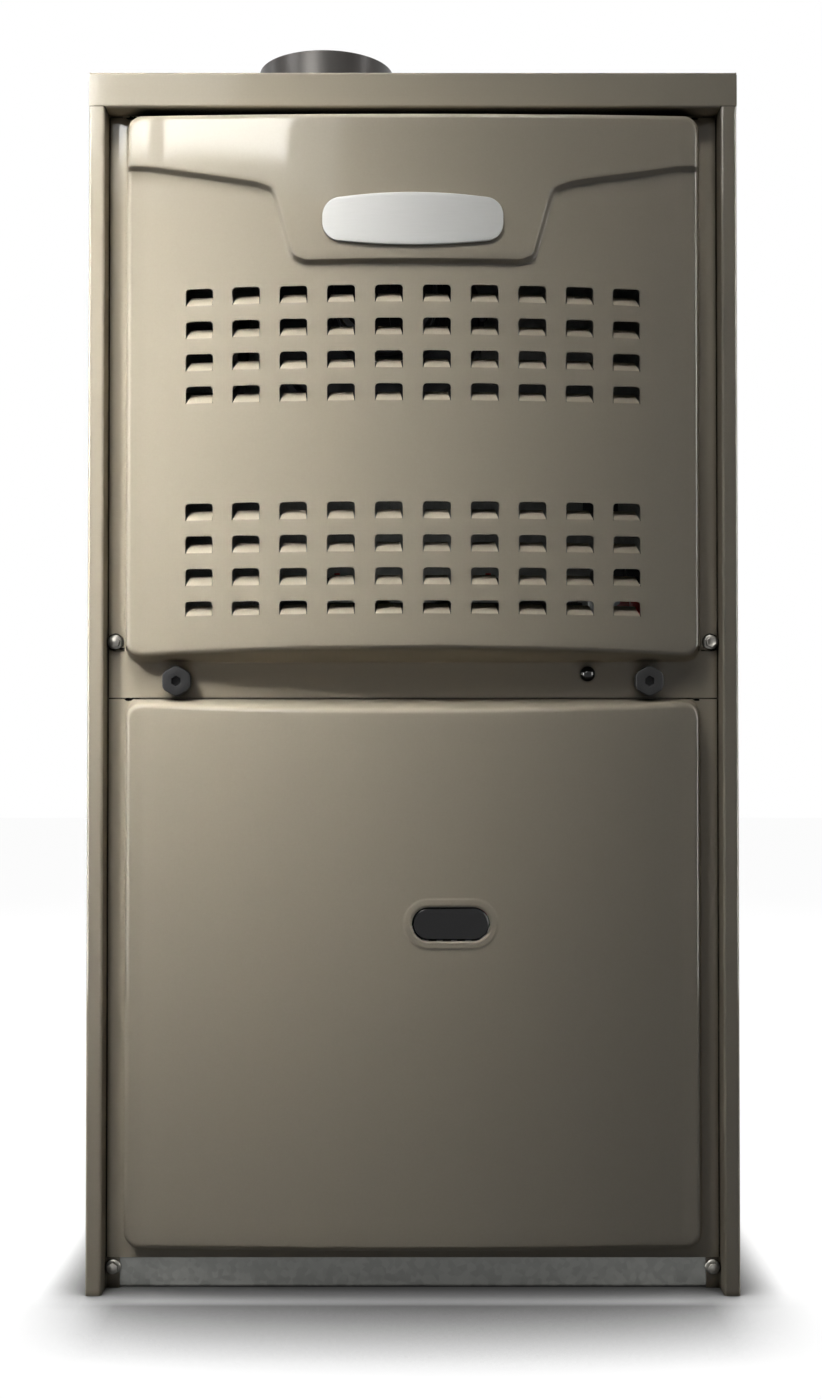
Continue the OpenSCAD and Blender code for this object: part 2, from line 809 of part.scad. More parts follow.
// Quarter turn knob: rounded hexagon with a socket, and a round stud to the rail
module latch_knob() {
    knob_rear = door_front - 0.2;
    flat_r = knob_d / 2 / cos(30);
    translate([0, 0, knob_z]) {
        difference() {
            intersection() {
                translate([0, knob_rear, 0])
                    rotate([90, 0, 0])
                        rotate_extrude()
                            polygon([[0, 0], [knob_d * 0.36, 0], [knob_d * 0.54, knob_len - 3],
                                [knob_d * 0.54, knob_len - 1], [knob_d * 0.49, knob_len], [0, knob_len]]);
                along_y(knob_rear - knob_len, knob_rear)
                    circle(flat_r, $fn = 6);
            }
            along_y(knob_rear - knob_len - past, knob_rear - knob_len + 5)
                circle(3.6, $fn = 6);
        }
        bar_y(stud_d / 2, knob_rear - 0.1, rail_e + 12);
    }
}

module latch_knob_left() {
    placed("#1d1c1b")
        translate([-knob_x, 0, 0]) latch_knob();
}

module latch_knob_right() {
    placed("#1d1c1b")
        translate([knob_x, 0, 0]) latch_knob();
}

module sight_glass() {
    lens_r = crown_r - door_t;
    seat_r = crown_r + window_raise - door_t - seat_gap;
    flange_t = 2;
    placed("#101010") {
        crown_slab(seat_r - flange_t, lens_r, 0, seam_z) window_outline(0);
        crown_slab(seat_r - flange_t, seat_r, 0, seam_z) window_outline(window_rim - door_t - seat_gap);
    }
}

// Faced blanket inside the lower door, cut out around the sight window
module lower_door_insulation() {
    pad_r = crown_r - door_t - seat_gap;
    placed("#c9c7bd")
        difference() {
            crown_slab(pad_r - 10, pad_r, lower_bulge_low + 18, lower_high - 24)
                translate([0, (lower_bulge_low + lower_high) / 2])
                    square([2 * (bulge_half_w - 14), 2 * seam_z], center = true);
            along_y(-front_limit, door_rear) window_outline(window_rim + 2.4);
        }
}

// ---- Heating section ----

// Insulation blanket on the side walls and the back wall of the heating section
module heating_blanket() {
    outer = inner_half_w - seat_gap;
    x = outer - blanket_t / 2;
    rear = back_e - sheet_t - seat_gap - blanket_t / 2;
    path = [[-x, vestibule_d + 3], [-x, rear], [x, rear], [x, vestibule_d + 3]];
    placed("#c4bfae")
        translate([0, 0, deck_top + seat_gap])
            linear_extrude(cabinet_h - deck_top - 26)
                folded(path, blanket_t, blanket_t / 2 + 1);
}

// Serpentine of four passes joined by three turns, in depth and height
pass_h = [46, 38, 30, 26];
pass_front = vestibule_d + 46;
pass_rear = cabinet_d - 76;
turn_w = 34;
turn_r = 14;
function pass_z(i) = burner_z + i * (outlet_z - burner_z) / 3;
function pass_low(i) = pass_z(i) - pass_h[i] / 2;
function pass_high(i) = pass_z(i) + pass_h[i] / 2;

// Outline of the passes, d inside the outer wall: up the rear side and down the front side
module serpentine_2d(d) {
    front = vestibule_d - (d > 0 ? past : 0);
    rear_side = [
        [front, pass_low(0)], [pass_rear, pass_low(0)], [pass_rear, pass_high(1)],
        [pass_front + turn_w, pass_high(1)], [pass_front + turn_w, pass_low(2)],
        [pass_rear, pass_low(2)], [pass_rear, pass_high(3)], [front, pass_high(3)]
    ];
    front_side = [
        [front, pass_low(3)], [pass_rear - turn_w, pass_low(3)], [pass_rear - turn_w, pass_high(2)],
        [pass_front, pass_high(2)], [pass_front, pass_low(1)],
        [pass_rear - turn_w, pass_low(1)], [pass_rear - turn_w, pass_high(0)], [front, pass_high(0)]
    ];
    polygon(concat(rounded_path(rear_side, turn_r, d), rounded_path(front_side, turn_r, d)));
}

// Clamshell section: two pressed halves that meet in a seam flange around the passes
module heat_exchanger(i) {
    seam_half = 1.2;
    seam_w = 11;
    placed("#8c8e8f")
        translate([cell_x(i), 0, 0])
            difference() {
                union() {
                    along_x(-cell_w / 2, cell_w / 2) serpentine_2d(0);
                    along_x(-seam_half, seam_half)
                        translate([pass_front - seam_w - 22, pass_low(0) - seam_w])
                            square([pass_rear - pass_front + 2 * seam_w + 22, pass_high(3) - pass_low(0) + 2 * seam_w]);
                    // Front flange against the burner compartment's rear wall
                    for (z = [burner_z, outlet_z])
                        block([-cell_w / 2 - 5, vestibule_d, z - 30], [cell_w / 2 + 5, vestibule_d + 1.5, z + 30]);
                }
                along_x(-cell_w / 2 + cell_t, cell_w / 2 - cell_t) serpentine_2d(cell_t);
            }
}

module heat_exchanger_1() { heat_exchanger(0); }
module heat_exchanger_2() { heat_exchanger(1); }
module heat_exchanger_3() { heat_exchanger(2); }
module heat_exchanger_4() { heat_exchanger(3); }

// Box that gathers the flue gas from the sections' outlets
module collector_box() {
    box_half_w = (cells - 1) / 2 * cell_pitch + cell_w + 20;
    box_rear = vestibule_d - sheet_t;
    placed("#9c9e9f")
        difference() {
            block([-box_half_w, box_front, box_low], [box_half_w, box_rear, box_high]);
            block([-box_half_w + 2, box_front + 2, box_low + 2], [box_half_w - 2, box_rear + past, box_high - 2]);
            translate([inducer_x, 0, inducer_z])
                bar_y(23, box_front - past, box_front + 3);
            translate([hose_x, 0, hose_high])
                bar_y(2.5, box_front - past, box_front + 3);
        }
}

// Scroll with its duct upwards at the left: the spiral starts at the top and winds clockwise
function spiral(r0, r1) =
    [for (k = [0 : spiral_steps])
        let (a = 90 - 270 * k / spiral_steps, r = r0 + (r1 - r0) * k / spiral_steps)
        [r * cos(a), r * sin(a)]];

module scroll_2d(r0, r1, duct_w, duct_h, d) {
    polygon(concat(spiral(r0 - d, r1 - d), [[-r1 + d, duct_h], [-r1 + duct_w - d, duct_h]]));
}

module inducer_housing() {
    duct_h = duct_top_z - inducer_z;
    start_r = inducer_wheel_r + 8;
    placed("#2f2f2e")
        difference() {
            union() {
                translate([inducer_x, 0, inducer_z])
                    along_y(inducer_front, inducer_rear)
                        scroll_2d(start_r, inducer_scroll_r, inducer_duct_w, duct_h, 0);
                // Seal between the housing and the collector box
                translate([inducer_x, 0, inducer_z])
                    bar_y(34, inducer_rear - 0.1, box_front);
                translate([-vent_left, vent_depth, duct_top_z]) {
                    cylinder(h = 3, r = spigot_r + 5);
                    cylinder(h = 26, r = spigot_r);
                }
            }
            translate([inducer_x, 0, inducer_z])
                along_y(inducer_front + inducer_t, inducer_rear - inducer_t)
                    scroll_2d(start_r, inducer_scroll_r, inducer_duct_w, duct_h + 4, inducer_t);
            translate([-vent_left, vent_depth, duct_top_z + 3])
                cylinder(h = 30, r = spigot_r - 1.5);
            translate([inducer_x, 0, inducer_z]) {
                bar_y(23, inducer_rear - 4, box_front + past);
                bar_y(inducer_shaft_d / 2 + 3, inducer_front - past, inducer_front + 4);
            }
        }
}

// Turns a piece about the inducer's axis
module at_inducer() {
    translate([inducer_x, 0, inducer_z]) children();
}

module inducer_motor() {
    placed("#4a4a48")
        at_inducer()
            difference() {
                union() {
                    bar_y(38, 52, inducer_front - 8);
                    bar_y(24, 48, 53);
                    for (a = [30, 150, 270])
                        rotate([0, a, 0])
                            translate([32, 0, 0])
                                bar_y(5, inducer_front - 9, inducer_front);
                }
                bar_y(inducer_shaft_d / 2 + run_fit, 40, inducer_front);
            }
}

module inducer_wheel() {
    rear = inducer_rear - 8;
    front = inducer_front + 6;
    placed("#5a5b5c")
        at_inducer()
            difference() {
                union() {
                    bar_y(inducer_wheel_r, front, front + 2);
                    bar_y(11, front, rear - 14);
                    for (i = [0 : 11])
                        rotate([0, 30 * i, 0])
                            block([9, front + 1, -0.8], [inducer_wheel_r, rear, 0.8]);
                }
                bar_y(inducer_shaft_d / 2 + run_fit, front - past, rear);
            }
}

module inducer_shaft() {
    placed("#c2c4c6")
        at_inducer()
            bar_y(inducer_shaft_d / 2, 34, inducer_rear - 12);
}

// Fan that cools the inducer's motor, in front of it
module inducer_cooling_fan() {
    placed("#353534")
        at_inducer()
            difference() {
                union() {
                    bar_y(9, 36, 46);
                    bar_y(34, 44.5, 46);
                    for (i = [0 : 8])
                        rotate([0, 40 * i, 0])
                            block([7, 37, -0.8], [33, 45, 0.8]);
                }
                bar_y(inducer_shaft_d / 2 + run_fit, 30, 50);
            }
}

// ---- Gas train ----

module burner_rack() {
    rack_path = [
        [vestibule_d - sheet_t, burner_z - rack_half_h], [rack_e, burner_z - rack_half_h],
        [rack_e, burner_z + rack_half_h], [vestibule_d - sheet_t, burner_z + rack_half_h]
    ];
    placed("#a3a5a4")
        difference() {
            along_x(-rack_half_w, rack_half_w) folded(rack_path);
            each_cell()
                translate([0, 0, burner_z])
                    bar_y(16 + seat_gap, rack_e - 2, rack_e + 2);
            translate([-cell_pitch, 0, burner_z + 12])
                bar_y(5, rack_e - 2, rack_e + 2);
            translate([cell_pitch, 0, burner_z - 12])
                bar_y(3.5, rack_e - 2, rack_e + 2);
            for (x = [-cell_pitch, cell_pitch])
                translate([x, rack_e + 9.5, burner_z + rack_half_h - past])
                    cylinder(h = 3 * past, r = 4.5);
        }
}

// Inshot burner: bell mouth, throat, mixing tube and flame holder
module burner(i) {
    profile = [
        [20, boss_end + 10], [12.5, boss_end + 30], [12.5, boss_end + 42], [15, boss_end + 60],
        [15, vestibule_d - 8]
    ];
    placed("#b2a58c")
        translate([cell_x(i), 0, burner_z])
            rotate([-90, 0, 0]) {
                rotate_extrude($fn = 48) folded(profile, 1.4, 6);
                // Collar that seats on the rack's front
                difference() {
                    translate([0, 0, rack_e - 3])
                        cylinder(h = 3 - sheet_t / 2, r = 20);
                    translate([0, 0, rack_e - 4])
                        cylinder(h = 5, r = 15);
                }
            }
}

module burner_1() { burner(0); }
module burner_2() { burner(1); }
module burner_3() { burner(2); }
module burner_4() { burner(3); }

// Pipe with one boss a burner, a capped end and two straps to the rack
module gas_manifold() {
    pipe_left = -1.5 * cell_pitch - 18;
    placed("#6f6e6a")
        difference() {
            union() {
                translate([0, manifold_e, burner_z]) {
                    bar_x(manifold_r, pipe_left, valve_left);
                    bar_x(manifold_r + 2.5, pipe_left - 4, pipe_left + 12);
                }
                each_cell()
                    translate([0, 0, burner_z])
                        bar_y(8, manifold_e, boss_end);
                for (side = [-1, 1])
                    translate([side * (1.5 * cell_pitch + 26), 0, burner_z])
                        block([-1.5, manifold_e, -7], [1.5, rack_e - sheet_t / 2, 7]);
                translate([-1.5 * cell_pitch - 26, manifold_e, burner_z])
                    bar_x(manifold_r, -past, 8);
            }
            translate([0, manifold_e, burner_z])
                bar_x(manifold_r - 2.8, pipe_left, valve_left + past);
            each_cell()
                translate([0, 0, burner_z])
                    bar_y(2.5, manifold_e, boss_end + past);
        }
}

module gas_orifices() {
    placed("#b5963f")
        each_cell()
            translate([0, 0, burner_z])
                difference() {
                    union() {
                        along_y(boss_end, boss_end + 5)
                            circle(7, $fn = 6);
                        bar_y(4, boss_end + 4.9, boss_end + 9);
                    }
                    bar_y(1.2, boss_end - past, boss_end + 10);
                }
}

module gas_valve() {
    right = valve_left + valve_w;
    mid = valve_left + valve_w / 2;
    placed("#8f9294")
        difference() {
            union() {
                block([valve_left, valve_front, burner_z - 22], [right, valve_rear, burner_z + 22]);
                block([valve_left + 8, valve_front + 6, burner_z + 21], [right - 8, valve_rear - 6, burner_z + 36]);
                translate([mid, 0, burner_z + 30])
                    bar_y(9, valve_front - 6, valve_front + 20);
                // Regulator tower and the hexagon of the inlet
                translate([mid - 16, (valve_front + valve_rear) / 2, burner_z + 35])
                    cylinder(h = 14, r = 11);
                translate([right, manifold_e, burner_z])
                    rotate([0, 90, 0])
                        cylinder(h = 9, r = 16, $fn = 6);
            }
            translate([0, manifold_e, burner_z])
                bar_x(gas_inlet_r, right - 16, right + 9 + past);
            translate([mid, 0, burner_z])
                bar_y(3 + run_fit, valve_front - past, valve_front + 10);
        }
}

module gas_valve_knob() {
    placed("#c8442c")
        translate([valve_left + valve_w / 2, 0, burner_z]) {
            bar_y(3, valve_front - 3, valve_front + 9);
            difference() {
                bar_y(13, valve_front - 14, valve_front - 0.4);
                for (side = [-1, 1])
                    block([side > 0 ? 3.5 : -14, valve_front - 14 - past, -14],
                        [side > 0 ? 14 : -3.5, valve_front - 6, 14]);
            }
        }
}

module ignitor() {
    placed("#d8d2c4")
        translate([-cell_pitch, 0, burner_z + 12]) {
            bar_y(4, rack_e - 22, rack_e + 6);
            block([-9, rack_e - 12, -5], [9, rack_e - sheet_t / 2, 5]);
            block([-3, rack_e + 5, -1.5], [3, vestibule_d - 4, 1.5]);
        }
}

module flame_sensor() {
    placed("#e4e0d6")
        translate([cell_pitch, 0, burner_z - 12]) {
            bar_y(3, rack_e - 24, rack_e + 5);
            bar_y(1.2, rack_e - 30, vestibule_d - 4);
            block([-10, rack_e - 3, -4.5], [6, rack_e - sheet_t / 2, 4.5]);
        }
}

// Manual reset switch on the burner rack, side -1 for the left one
rollout_floor = burner_z + rack_half_h + sheet_t / 2;
module rollout_switch(side) {
    placed("#33312e")
        translate([side * cell_pitch, rack_e + 9.5, rollout_floor])
            difference() {
                union() {
                    cylinder(h = 12, r = 8);
                    block([-13, -6, 0], [13, 6, 1.5]);
                }
                translate([0, 0, 3])
                    cylinder(h = 12, r = 2.5 + run_fit);
            }
}

module rollout_switch_left() { rollout_switch(-1); }
module rollout_switch_right() { rollout_switch(1); }

module rollout_button(side) {
    placed("#b63a2e")
        translate([side * cell_pitch, rack_e + 9.5, rollout_floor + 6])
            cylinder(h = 10, r = 2.5);
}

module rollout_button_left() { rollout_button(-1); }
module rollout_button_right() { rollout_button(1); }

// ---- Controls ----

hose_r = 4;
hose_turn_r = 14;
hose_room = 12.2;
hose_x = inducer_x - inducer_scroll_r - hose_r - hose_room;
hose_e = 140;
hose_low = inducer_z - 60;
hose_high = inducer_z + 5;

// Diaphragm switch that proves the draft, on the left wall
module pressure_switch() {
    wall = -inner_half_w;
    placed("#3b3f45")
        translate([0, hose_e, hose_low]) {
            bar_x(30, wall, wall + 8);
            bar_x(34, wall + 8, wall + 13);
            bar_x(28, wall + 13, wall + 19);
            bar_x(3, wall + 19, wall + 30);
        }
}

// Hose from the draft switch up to the collector box
module pressure_hose() {
    x0 = -inner_half_w + 30;
    placed("#1f1f1f") {
        translate([0, hose_e, hose_low])
            bar_x(hose_r, x0, hose_x - hose_turn_r);
        translate([hose_x - hose_turn_r, hose_e, hose_low + hose_turn_r])
            rotate([90, 0, 0])
                rotate([0, 0, -90])
                    rotate_extrude(angle = 90, $fn = 48)
                        translate([hose_turn_r, 0])
                            circle(hose_r, $fn = 24);
        translate([hose_x, hose_e, hose_low + hose_turn_r])
            cylinder(h = hose_high - hose_low - 2 * hose_turn_r, r = hose_r);
        translate([hose_x, hose_e + hose_turn_r, hose_high - hose_turn_r])
            rotate([0, -90, 0])
                rotate([0, 0, -90])
                    rotate_extrude(angle = 90, $fn = 48)
                        translate([hose_turn_r, 0])
                            circle(hose_r, $fn = 24);
        translate([hose_x, 0, hose_high])
            bar_y(hose_r, hose_e + hose_turn_r, box_front);
    }
}

module limit_switch() {
    rear = vestibule_d - sheet_t;
    placed("#4b4a47")
        translate([limit_x, 0, limit_z]) {
            block([-14, rear - 1.5, -22], [14, rear, 22]);
            bar_y(13, rear - 16, rear - 1);
            bar_y(7, rear - 1, rear + 40);
        }
}

// Wiring box on the left wall, its knockout in line with the cabinet's
module junction_box() {
    wall = -inner_half_w;
    z = burner_z + 90;
    placed("#a5a7a6")
        difference() {
            block([wall, manifold_e - 32, z - 34], [wall + 42, manifold_e + 32, z + 34]);
            block([wall + sheet_t, manifold_e - 31, z - 33], [wall + 41, manifold_e + 31, z + 33]);
            translate([0, manifold_e, z])
                bar_x(knockout_r + 2, wall - past, wall + 2 * past);
        }
}

// Sheet that hangs from the blower deck and carries the controls
bracket_e = 70;
bracket_lip = 18;
board_z = window_z + 44;
bracket_low = board_z - 88;
module control_bracket() {
    bracket_path = [
        [bracket_e + 34, deck_under - sheet_t / 2], [bracket_e, deck_under - sheet_t / 2],
        [bracket_e, bracket_low], [bracket_e + bracket_lip, bracket_low]
    ];
    placed("#a9aba9")
        along_x(-172, 152) folded(bracket_path);
}

// Circuit board on four posts, with relays, terminals, a fuse and the status lamp
module control_board() {
    face = 60;
    board_t = 1.6;
    placed("#2f5a3c")
        translate([window_x - 4, 0, board_z]) {
            block([-78, face, -72], [78, face + board_t, 72]);
            for (x = [-70, 70], z = [-64, 64])
                translate([x, 0, z])
                    bar_y(3, face + board_t - 0.1, bracket_e - sheet_t / 2);
            for (i = [0 : 3])
                block([-68 + 36 * i, face - 20, 34], [-42 + 36 * i, face, 62]);
            block([-66, face - 14, -66], [58, face, -54]);
            block([-70, face - 9, -36], [-58, face, 16]);
            translate([40, face + 0.1, 2])
                rotate([90, 0, 0])
                    cylinder(h = 24, r = 9);
            translate([66, face + 0.1, -2])
                rotate([90, 0, 0])
                    cylinder(h = 18, r = 7);
            translate([4, face + 0.1, -44])
                rotate([90, 0, 0])
                    cylinder(h = 8, r = 2.5, $fn = 32);
            block([14, face - 7, -46], [34, face, -38]);
        }
}

module transformer() {
    rear = bracket_e - sheet_t / 2;
    placed("#5b5a57")
        translate([-116, 0, board_z + 20]) {
            difference() {
                block([-32, rear - 36, -28], [32, rear - 6, 28]);
                for (side = [-1, 1])
                    block([side > 0 ? 10 : -22, rear - 37, -14], [side > 0 ? 22 : -10, rear - 5, 14]);
            }
            block([-21, rear - 44, -13], [21, rear - 2, 13]);
            for (side = [-1, 1])
                block([side > 0 ? 20 : -38, rear - 6.5, -20], [side > 0 ? 38 : -20, rear, 20]);
        }
}

// Interlock switch below the centre rail; the lower door's flange presses its plunger
switch_x = knob_x - 54.7;
plunger_z = rail_low - 5;
plunger_w = 5;
module door_switch() {
    placed("#e6e3da")
        difference() {
            block([switch_x - 17, ledge_depth + 8, rail_low - 16], [switch_x + 17, ledge_depth + 46, rail_low]);
            block([switch_x - plunger_w - seat_gap, ledge_depth, plunger_z - 2.5 - seat_gap],
                [switch_x + plunger_w + seat_gap, ledge_depth + 26, plunger_z + 2.5 + seat_gap]);
        }
}

module door_switch_plunger() {
    placed("#26282b")
        block([switch_x - plunger_w, door_rear + 0.1, plunger_z - 2.5],
            [switch_x + plunger_w, ledge_depth + 25.7, plunger_z + 2.5]);
}

// ---- Blower ----

module at_blower() {
    translate([0, shaft_depth, shaft_z]) children();
}

// Scroll housing with an inlet in each side and a flange that hangs in the deck's runners
module blower_housing() {
    duct_h = shaft_drop - 3.4;
    half = housing_w / 2;
    flange_z = deck_under - 3.6;
    placed("#b0b2b2")
        difference() {
            union() {
                at_blower()
                    along_x(-half, half)
                        scroll_2d(scroll_start_r, scroll_r, scroll_r, duct_h, 0);
                block([-half - 11, flange_front, flange_z], [half + 11, flange_rear, flange_z + 1.5]);
            }
            at_blower() {
                along_x(-half + housing_t, half - housing_t)
                    scroll_2d(scroll_start_r, scroll_r, scroll_r, duct_h + 2 * past, housing_t);
                bar_x(inlet_r, -half - past, half + past);
            }
            block([-half + housing_t, shaft_depth - scroll_r + housing_t, flange_z - past],
                [half - housing_t, shaft_depth - housing_t, flange_z + 3]);
        }
}

// One forward curved blade in section, between the wheel's inner and outer radius
module blade_2d() {
    r = 19;
    intersection() {
        translate([wheel_r - 17, -r * 0.72])
            difference() {
                circle(r, $fn = 48);
                circle(r - 0.9, $fn = 48);
            }
        translate([wheel_r - 21, -6])
            square([18.5, 16]);
    }
}

module blower_wheel() {
    half = wheel_w / 2;
    ring_w = 5;
    placed("#b7babb")
        at_blower()
            difference() {
                union() {
                    along_x(-half, half)
                        for (i = [0 : blades - 1])
                            rotate(360 / blades * i)
                                blade_2d();
                    for (x = [-half, half - ring_w])
                        difference() {
                            bar_x(wheel_r, x, x + ring_w);
                            bar_x(wheel_r - 14, x - past, x + ring_w + past);
                        }
                    // Centre plate and hub
                    bar_x(wheel_r - 1, -13.5, -12);
                    bar_x(17, -28, -4);
                }
                bar_x(shaft_d / 2 + run_fit, -40, 40);
            }
}

module blower_shaft() {
    placed("#c9cbcc")
        at_blower()
            bar_x(shaft_d / 2, -34, housing_w / 2 + 14);
}

module blower_motor() {
    left = housing_w / 2 - motor_len + 20;
    placed("#3d3e3f")
        at_blower()
            difference() {
                union() {
                    bar_x(motor_d / 2, left, left + motor_len);
                    bar_x(motor_d / 2 - 14, left - 6, left + 1);
                    bar_x(motor_d / 2 - 14, left + motor_len - 1, left + motor_len + 5);
                }
                bar_x(shaft_d / 2 + run_fit, left - 10, left + motor_len + 10);
            }
}

// Belly band round the motor with three arms to the housing's side
module motor_mount() {
    face = housing_w / 2;
    band_r = motor_d / 2 + 2;
    placed("#9b9d9e")
        at_blower()
            difference() {
                union() {
                    bar_x(band_r, face - 6, face + 16);
                    for (a = [90, 210, 330])
                        rotate([a, 0, 0])
                            block([face, band_r - 2, -9], [face + 3, inlet_r + 16, 9]);
                }
                bar_x(motor_d / 2 + run_fit, face - 7, face + 17);
            }
}

// Run capacitor in its strap on the housing's left side
module capacitor() {
    face = -housing_w / 2;
    r = 22;
    placed("#cfd1d2")
        translate([face - r - 3, shaft_depth - 66, shaft_z + 118]) {
            cylinder(h = 58, r = r);
            translate([0, 0, 58])
                cylinder(h = 3, r = r - 4);
            block([0, -r - 2, 20], [r + 3, r + 2, 34]);
        }
}

left_side_panel();
right_side_panel();
back_panel();
top_cap();
vent_collar();
vestibule_panel();
blower_deck();
centre_rail();
bottom_panel();
bottom_cap();
heating_blanket();
heat_exchanger_1();
heat_exchanger_2();
heat_exchanger_3();
heat_exchanger_4();
collector_box();
inducer_housing();
inducer_motor();
inducer_wheel();
inducer_shaft();
inducer_cooling_fan();
burner_rack();
burner_1();
burner_2();
burner_3();
burner_4();
gas_manifold();
gas_orifices();
gas_valve();
gas_valve_knob();
ignitor();
flame_sensor();
rollout_switch_left();
rollout_switch_right();
rollout_button_left();
rollout_button_right();
pressure_switch();
pressure_hose();
limit_switch();
junction_box();
control_bracket();
control_board();
transformer();
door_switch();
door_switch_plunger();
blower_housing();
blower_wheel();
blower_shaft();
blower_motor();
motor_mount();
capacitor();
upper_door_panel();
badge();
plug_button();
latch_knob_left();
latch_knob_right();
lower_door_panel();
lower_door_insulation();
sight_glass();
cabinet_screws();
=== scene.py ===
"""Forced air gas furnace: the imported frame, dressed and lit for a product picture.

Every size is in millimetres, as x across the front, e in depth behind the cabinet's
front plane, and z up from the floor. A piece becomes metres when it is finished.
"""
import json
import logging
import math
from dataclasses import dataclass, field
from enum import Enum
from typing import Callable, Iterable, Sequence, Union

import bmesh
import bpy
from mathutils import Matrix, Vector


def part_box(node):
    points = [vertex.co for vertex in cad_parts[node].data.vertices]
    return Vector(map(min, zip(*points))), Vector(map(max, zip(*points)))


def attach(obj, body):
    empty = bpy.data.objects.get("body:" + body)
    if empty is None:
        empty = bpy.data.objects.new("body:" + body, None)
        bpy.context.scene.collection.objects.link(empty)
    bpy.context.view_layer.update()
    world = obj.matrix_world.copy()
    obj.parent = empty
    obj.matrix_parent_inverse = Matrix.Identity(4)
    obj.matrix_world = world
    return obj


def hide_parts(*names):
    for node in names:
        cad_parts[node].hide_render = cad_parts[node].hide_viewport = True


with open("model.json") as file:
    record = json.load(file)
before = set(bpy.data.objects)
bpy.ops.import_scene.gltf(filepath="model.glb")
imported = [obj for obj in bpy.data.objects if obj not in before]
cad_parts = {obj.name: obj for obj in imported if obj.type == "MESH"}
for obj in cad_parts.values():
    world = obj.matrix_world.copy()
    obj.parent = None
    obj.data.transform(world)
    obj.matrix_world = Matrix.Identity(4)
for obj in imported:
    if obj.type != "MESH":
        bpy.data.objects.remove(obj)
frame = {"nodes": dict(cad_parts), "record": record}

LOG = logging.getLogger("furnace")
MM = 0.001
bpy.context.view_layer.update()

Rgb = tuple[int, int, int]
Flat = tuple[float, float]
Point = tuple[float, float, float]
Outline = tuple[Flat, ...]
BMesh = bmesh.types.BMesh
Vert = bmesh.types.BMVert
Edge = bmesh.types.BMEdge
Node = bpy.types.Node
Socket = bpy.types.NodeSocket
Feed = Union[Socket, float, tuple[float, ...]]

ACROSS = (1.0, 0.0, 0.0)
INWARDS = (0.0, 1.0, 0.0)
FORWARDS = (0.0, -1.0, 0.0)
UPWARDS = (0.0, 0.0, 1.0)


# ---------------------------------------------------------------- nodes

class Graph:
    """Adds and joins the nodes of one material or world."""

    def __init__(self, owner: Union[bpy.types.Material, bpy.types.World]) -> None:
        """Turns the owner's nodes on."""
        owner.use_nodes = True
        self.nodes, self.links = owner.node_tree.nodes, owner.node_tree.links

    def feed(self, node: Node, inputs: dict[Union[str, int], Feed]) -> None:
        """Gives a node's sockets their values or joins them to other sockets.

        Args:
            node: The node.
            inputs: What each socket gets, by its name or number.
        """
        for key, value in inputs.items():
            if isinstance(value, Socket):
                self.links.new(value, node.inputs[key])
            else:
                node.inputs[key].default_value = value

    def add(self, kind: str, inputs: dict[Union[str, int], Feed], operation: str = "") -> Node:
        """Adds a node.

        Args:
            kind: Its type, without ShaderNode in front.
            inputs: What each socket gets, by its name or number.
            operation: What a node for sums does.

        Returns:
            The node.
        """
        node = self.nodes.new("ShaderNode" + kind)
        if operation:
            node.operation = operation
        self.feed(node, inputs)
        return node

    def sum(self, operation: str, *terms: Feed) -> Socket:
        """Returns the result of a sum with its terms in order."""
        return self.add("Math", dict(enumerate(terms)), operation).outputs[0]

    def place(self) -> Socket:
        """Returns the place in the piece."""
        return self.add("TexCoord", {}).outputs["Object"]

    def openness(self, reach: float, samples: int) -> Socket:
        """Adds how open a surface is to its surroundings.

        Args:
            reach: Distance in metres over which something closes it.
            samples: Rays for each measure.

        Returns:
            Socket with the share, from 0 to 1.
        """
        near = self.add("AmbientOcclusion", {"Distance": reach})
        near.samples = samples
        return near.outputs["AO"]

    def ramp(self, value: Socket, start: float, end: float, low: float = 0.0, high: float = 1.0) -> Socket:
        """Maps a stretch of values to another.

        Args:
            value: Socket with the value.
            start: Value that becomes low.
            end: Value that becomes high.
            low: First value of the result.
            high: Last value of the result.

        Returns:
            Socket with the result.
        """
        stretch = {"Value": value, "From Min": start, "From Max": end, "To Min": low, "To Max": high}
        return self.add("MapRange", stretch).outputs["Result"]


# ---------------------------------------------------------------- finishes

class Grain(Enum):
    """The small-scale relief and colour change that a finish shows."""

    PEEL = "orange peel of sprayed paint"
    SPANGLE = "crystal pattern of galvanised sheet"
    BRUSHED = "fine lines of rolled or brushed metal"
    MOULDED = "fine spark-eroded texture of moulded plastic"
    CAST = "sand or die cast skin"
    CRINKLED = "crinkled foil"
    FIRED = "chalky fired ceramic"
    GLOSS = "polished skin with faint dust"


# A slow cloud is mixed with every fine grain.
CLOUD_SCALE, CLOUD_DETAIL, GRAIN_SHARE = 9.0, 3.0, 0.75
SHADE_STOPS = (0.25, 0.75)
LEAST_ROUGH, ROUGH_SWING = 0.02, 0.06
# Painted shade in narrow gaps: openness at which a gap is darkest and at which it ends, and what the darkest keeps.
GAP_SHADE_STRETCH, GAP_SHADE_KEEPS, GAP_SHADE_SAMPLES = (0.25, 0.75), 0.02, 8
BRUSH_STRETCH = (0.03, 1.0, 1.0)
FINE_DETAIL, COARSE_DETAIL, CRINKLE = 1.0, 4.0, 2.0


def linear(colour: Rgb) -> tuple[float, float, float, float]:
    """Converts a colour as it shows on a screen to the shader's linear one.

    Args:
        colour: Red, green and blue from 0 to 255.

    Returns:
        Red, green, blue and alpha from 0 to 1.
    """
    def one(value: float) -> float:
        """Converts one channel."""
        value /= 255
        return value / 12.92 if value <= 0.04045 else ((value + 0.055) / 1.055) ** 2.4

    return (one(colour[0]), one(colour[1]), one(colour[2]), 1.0)


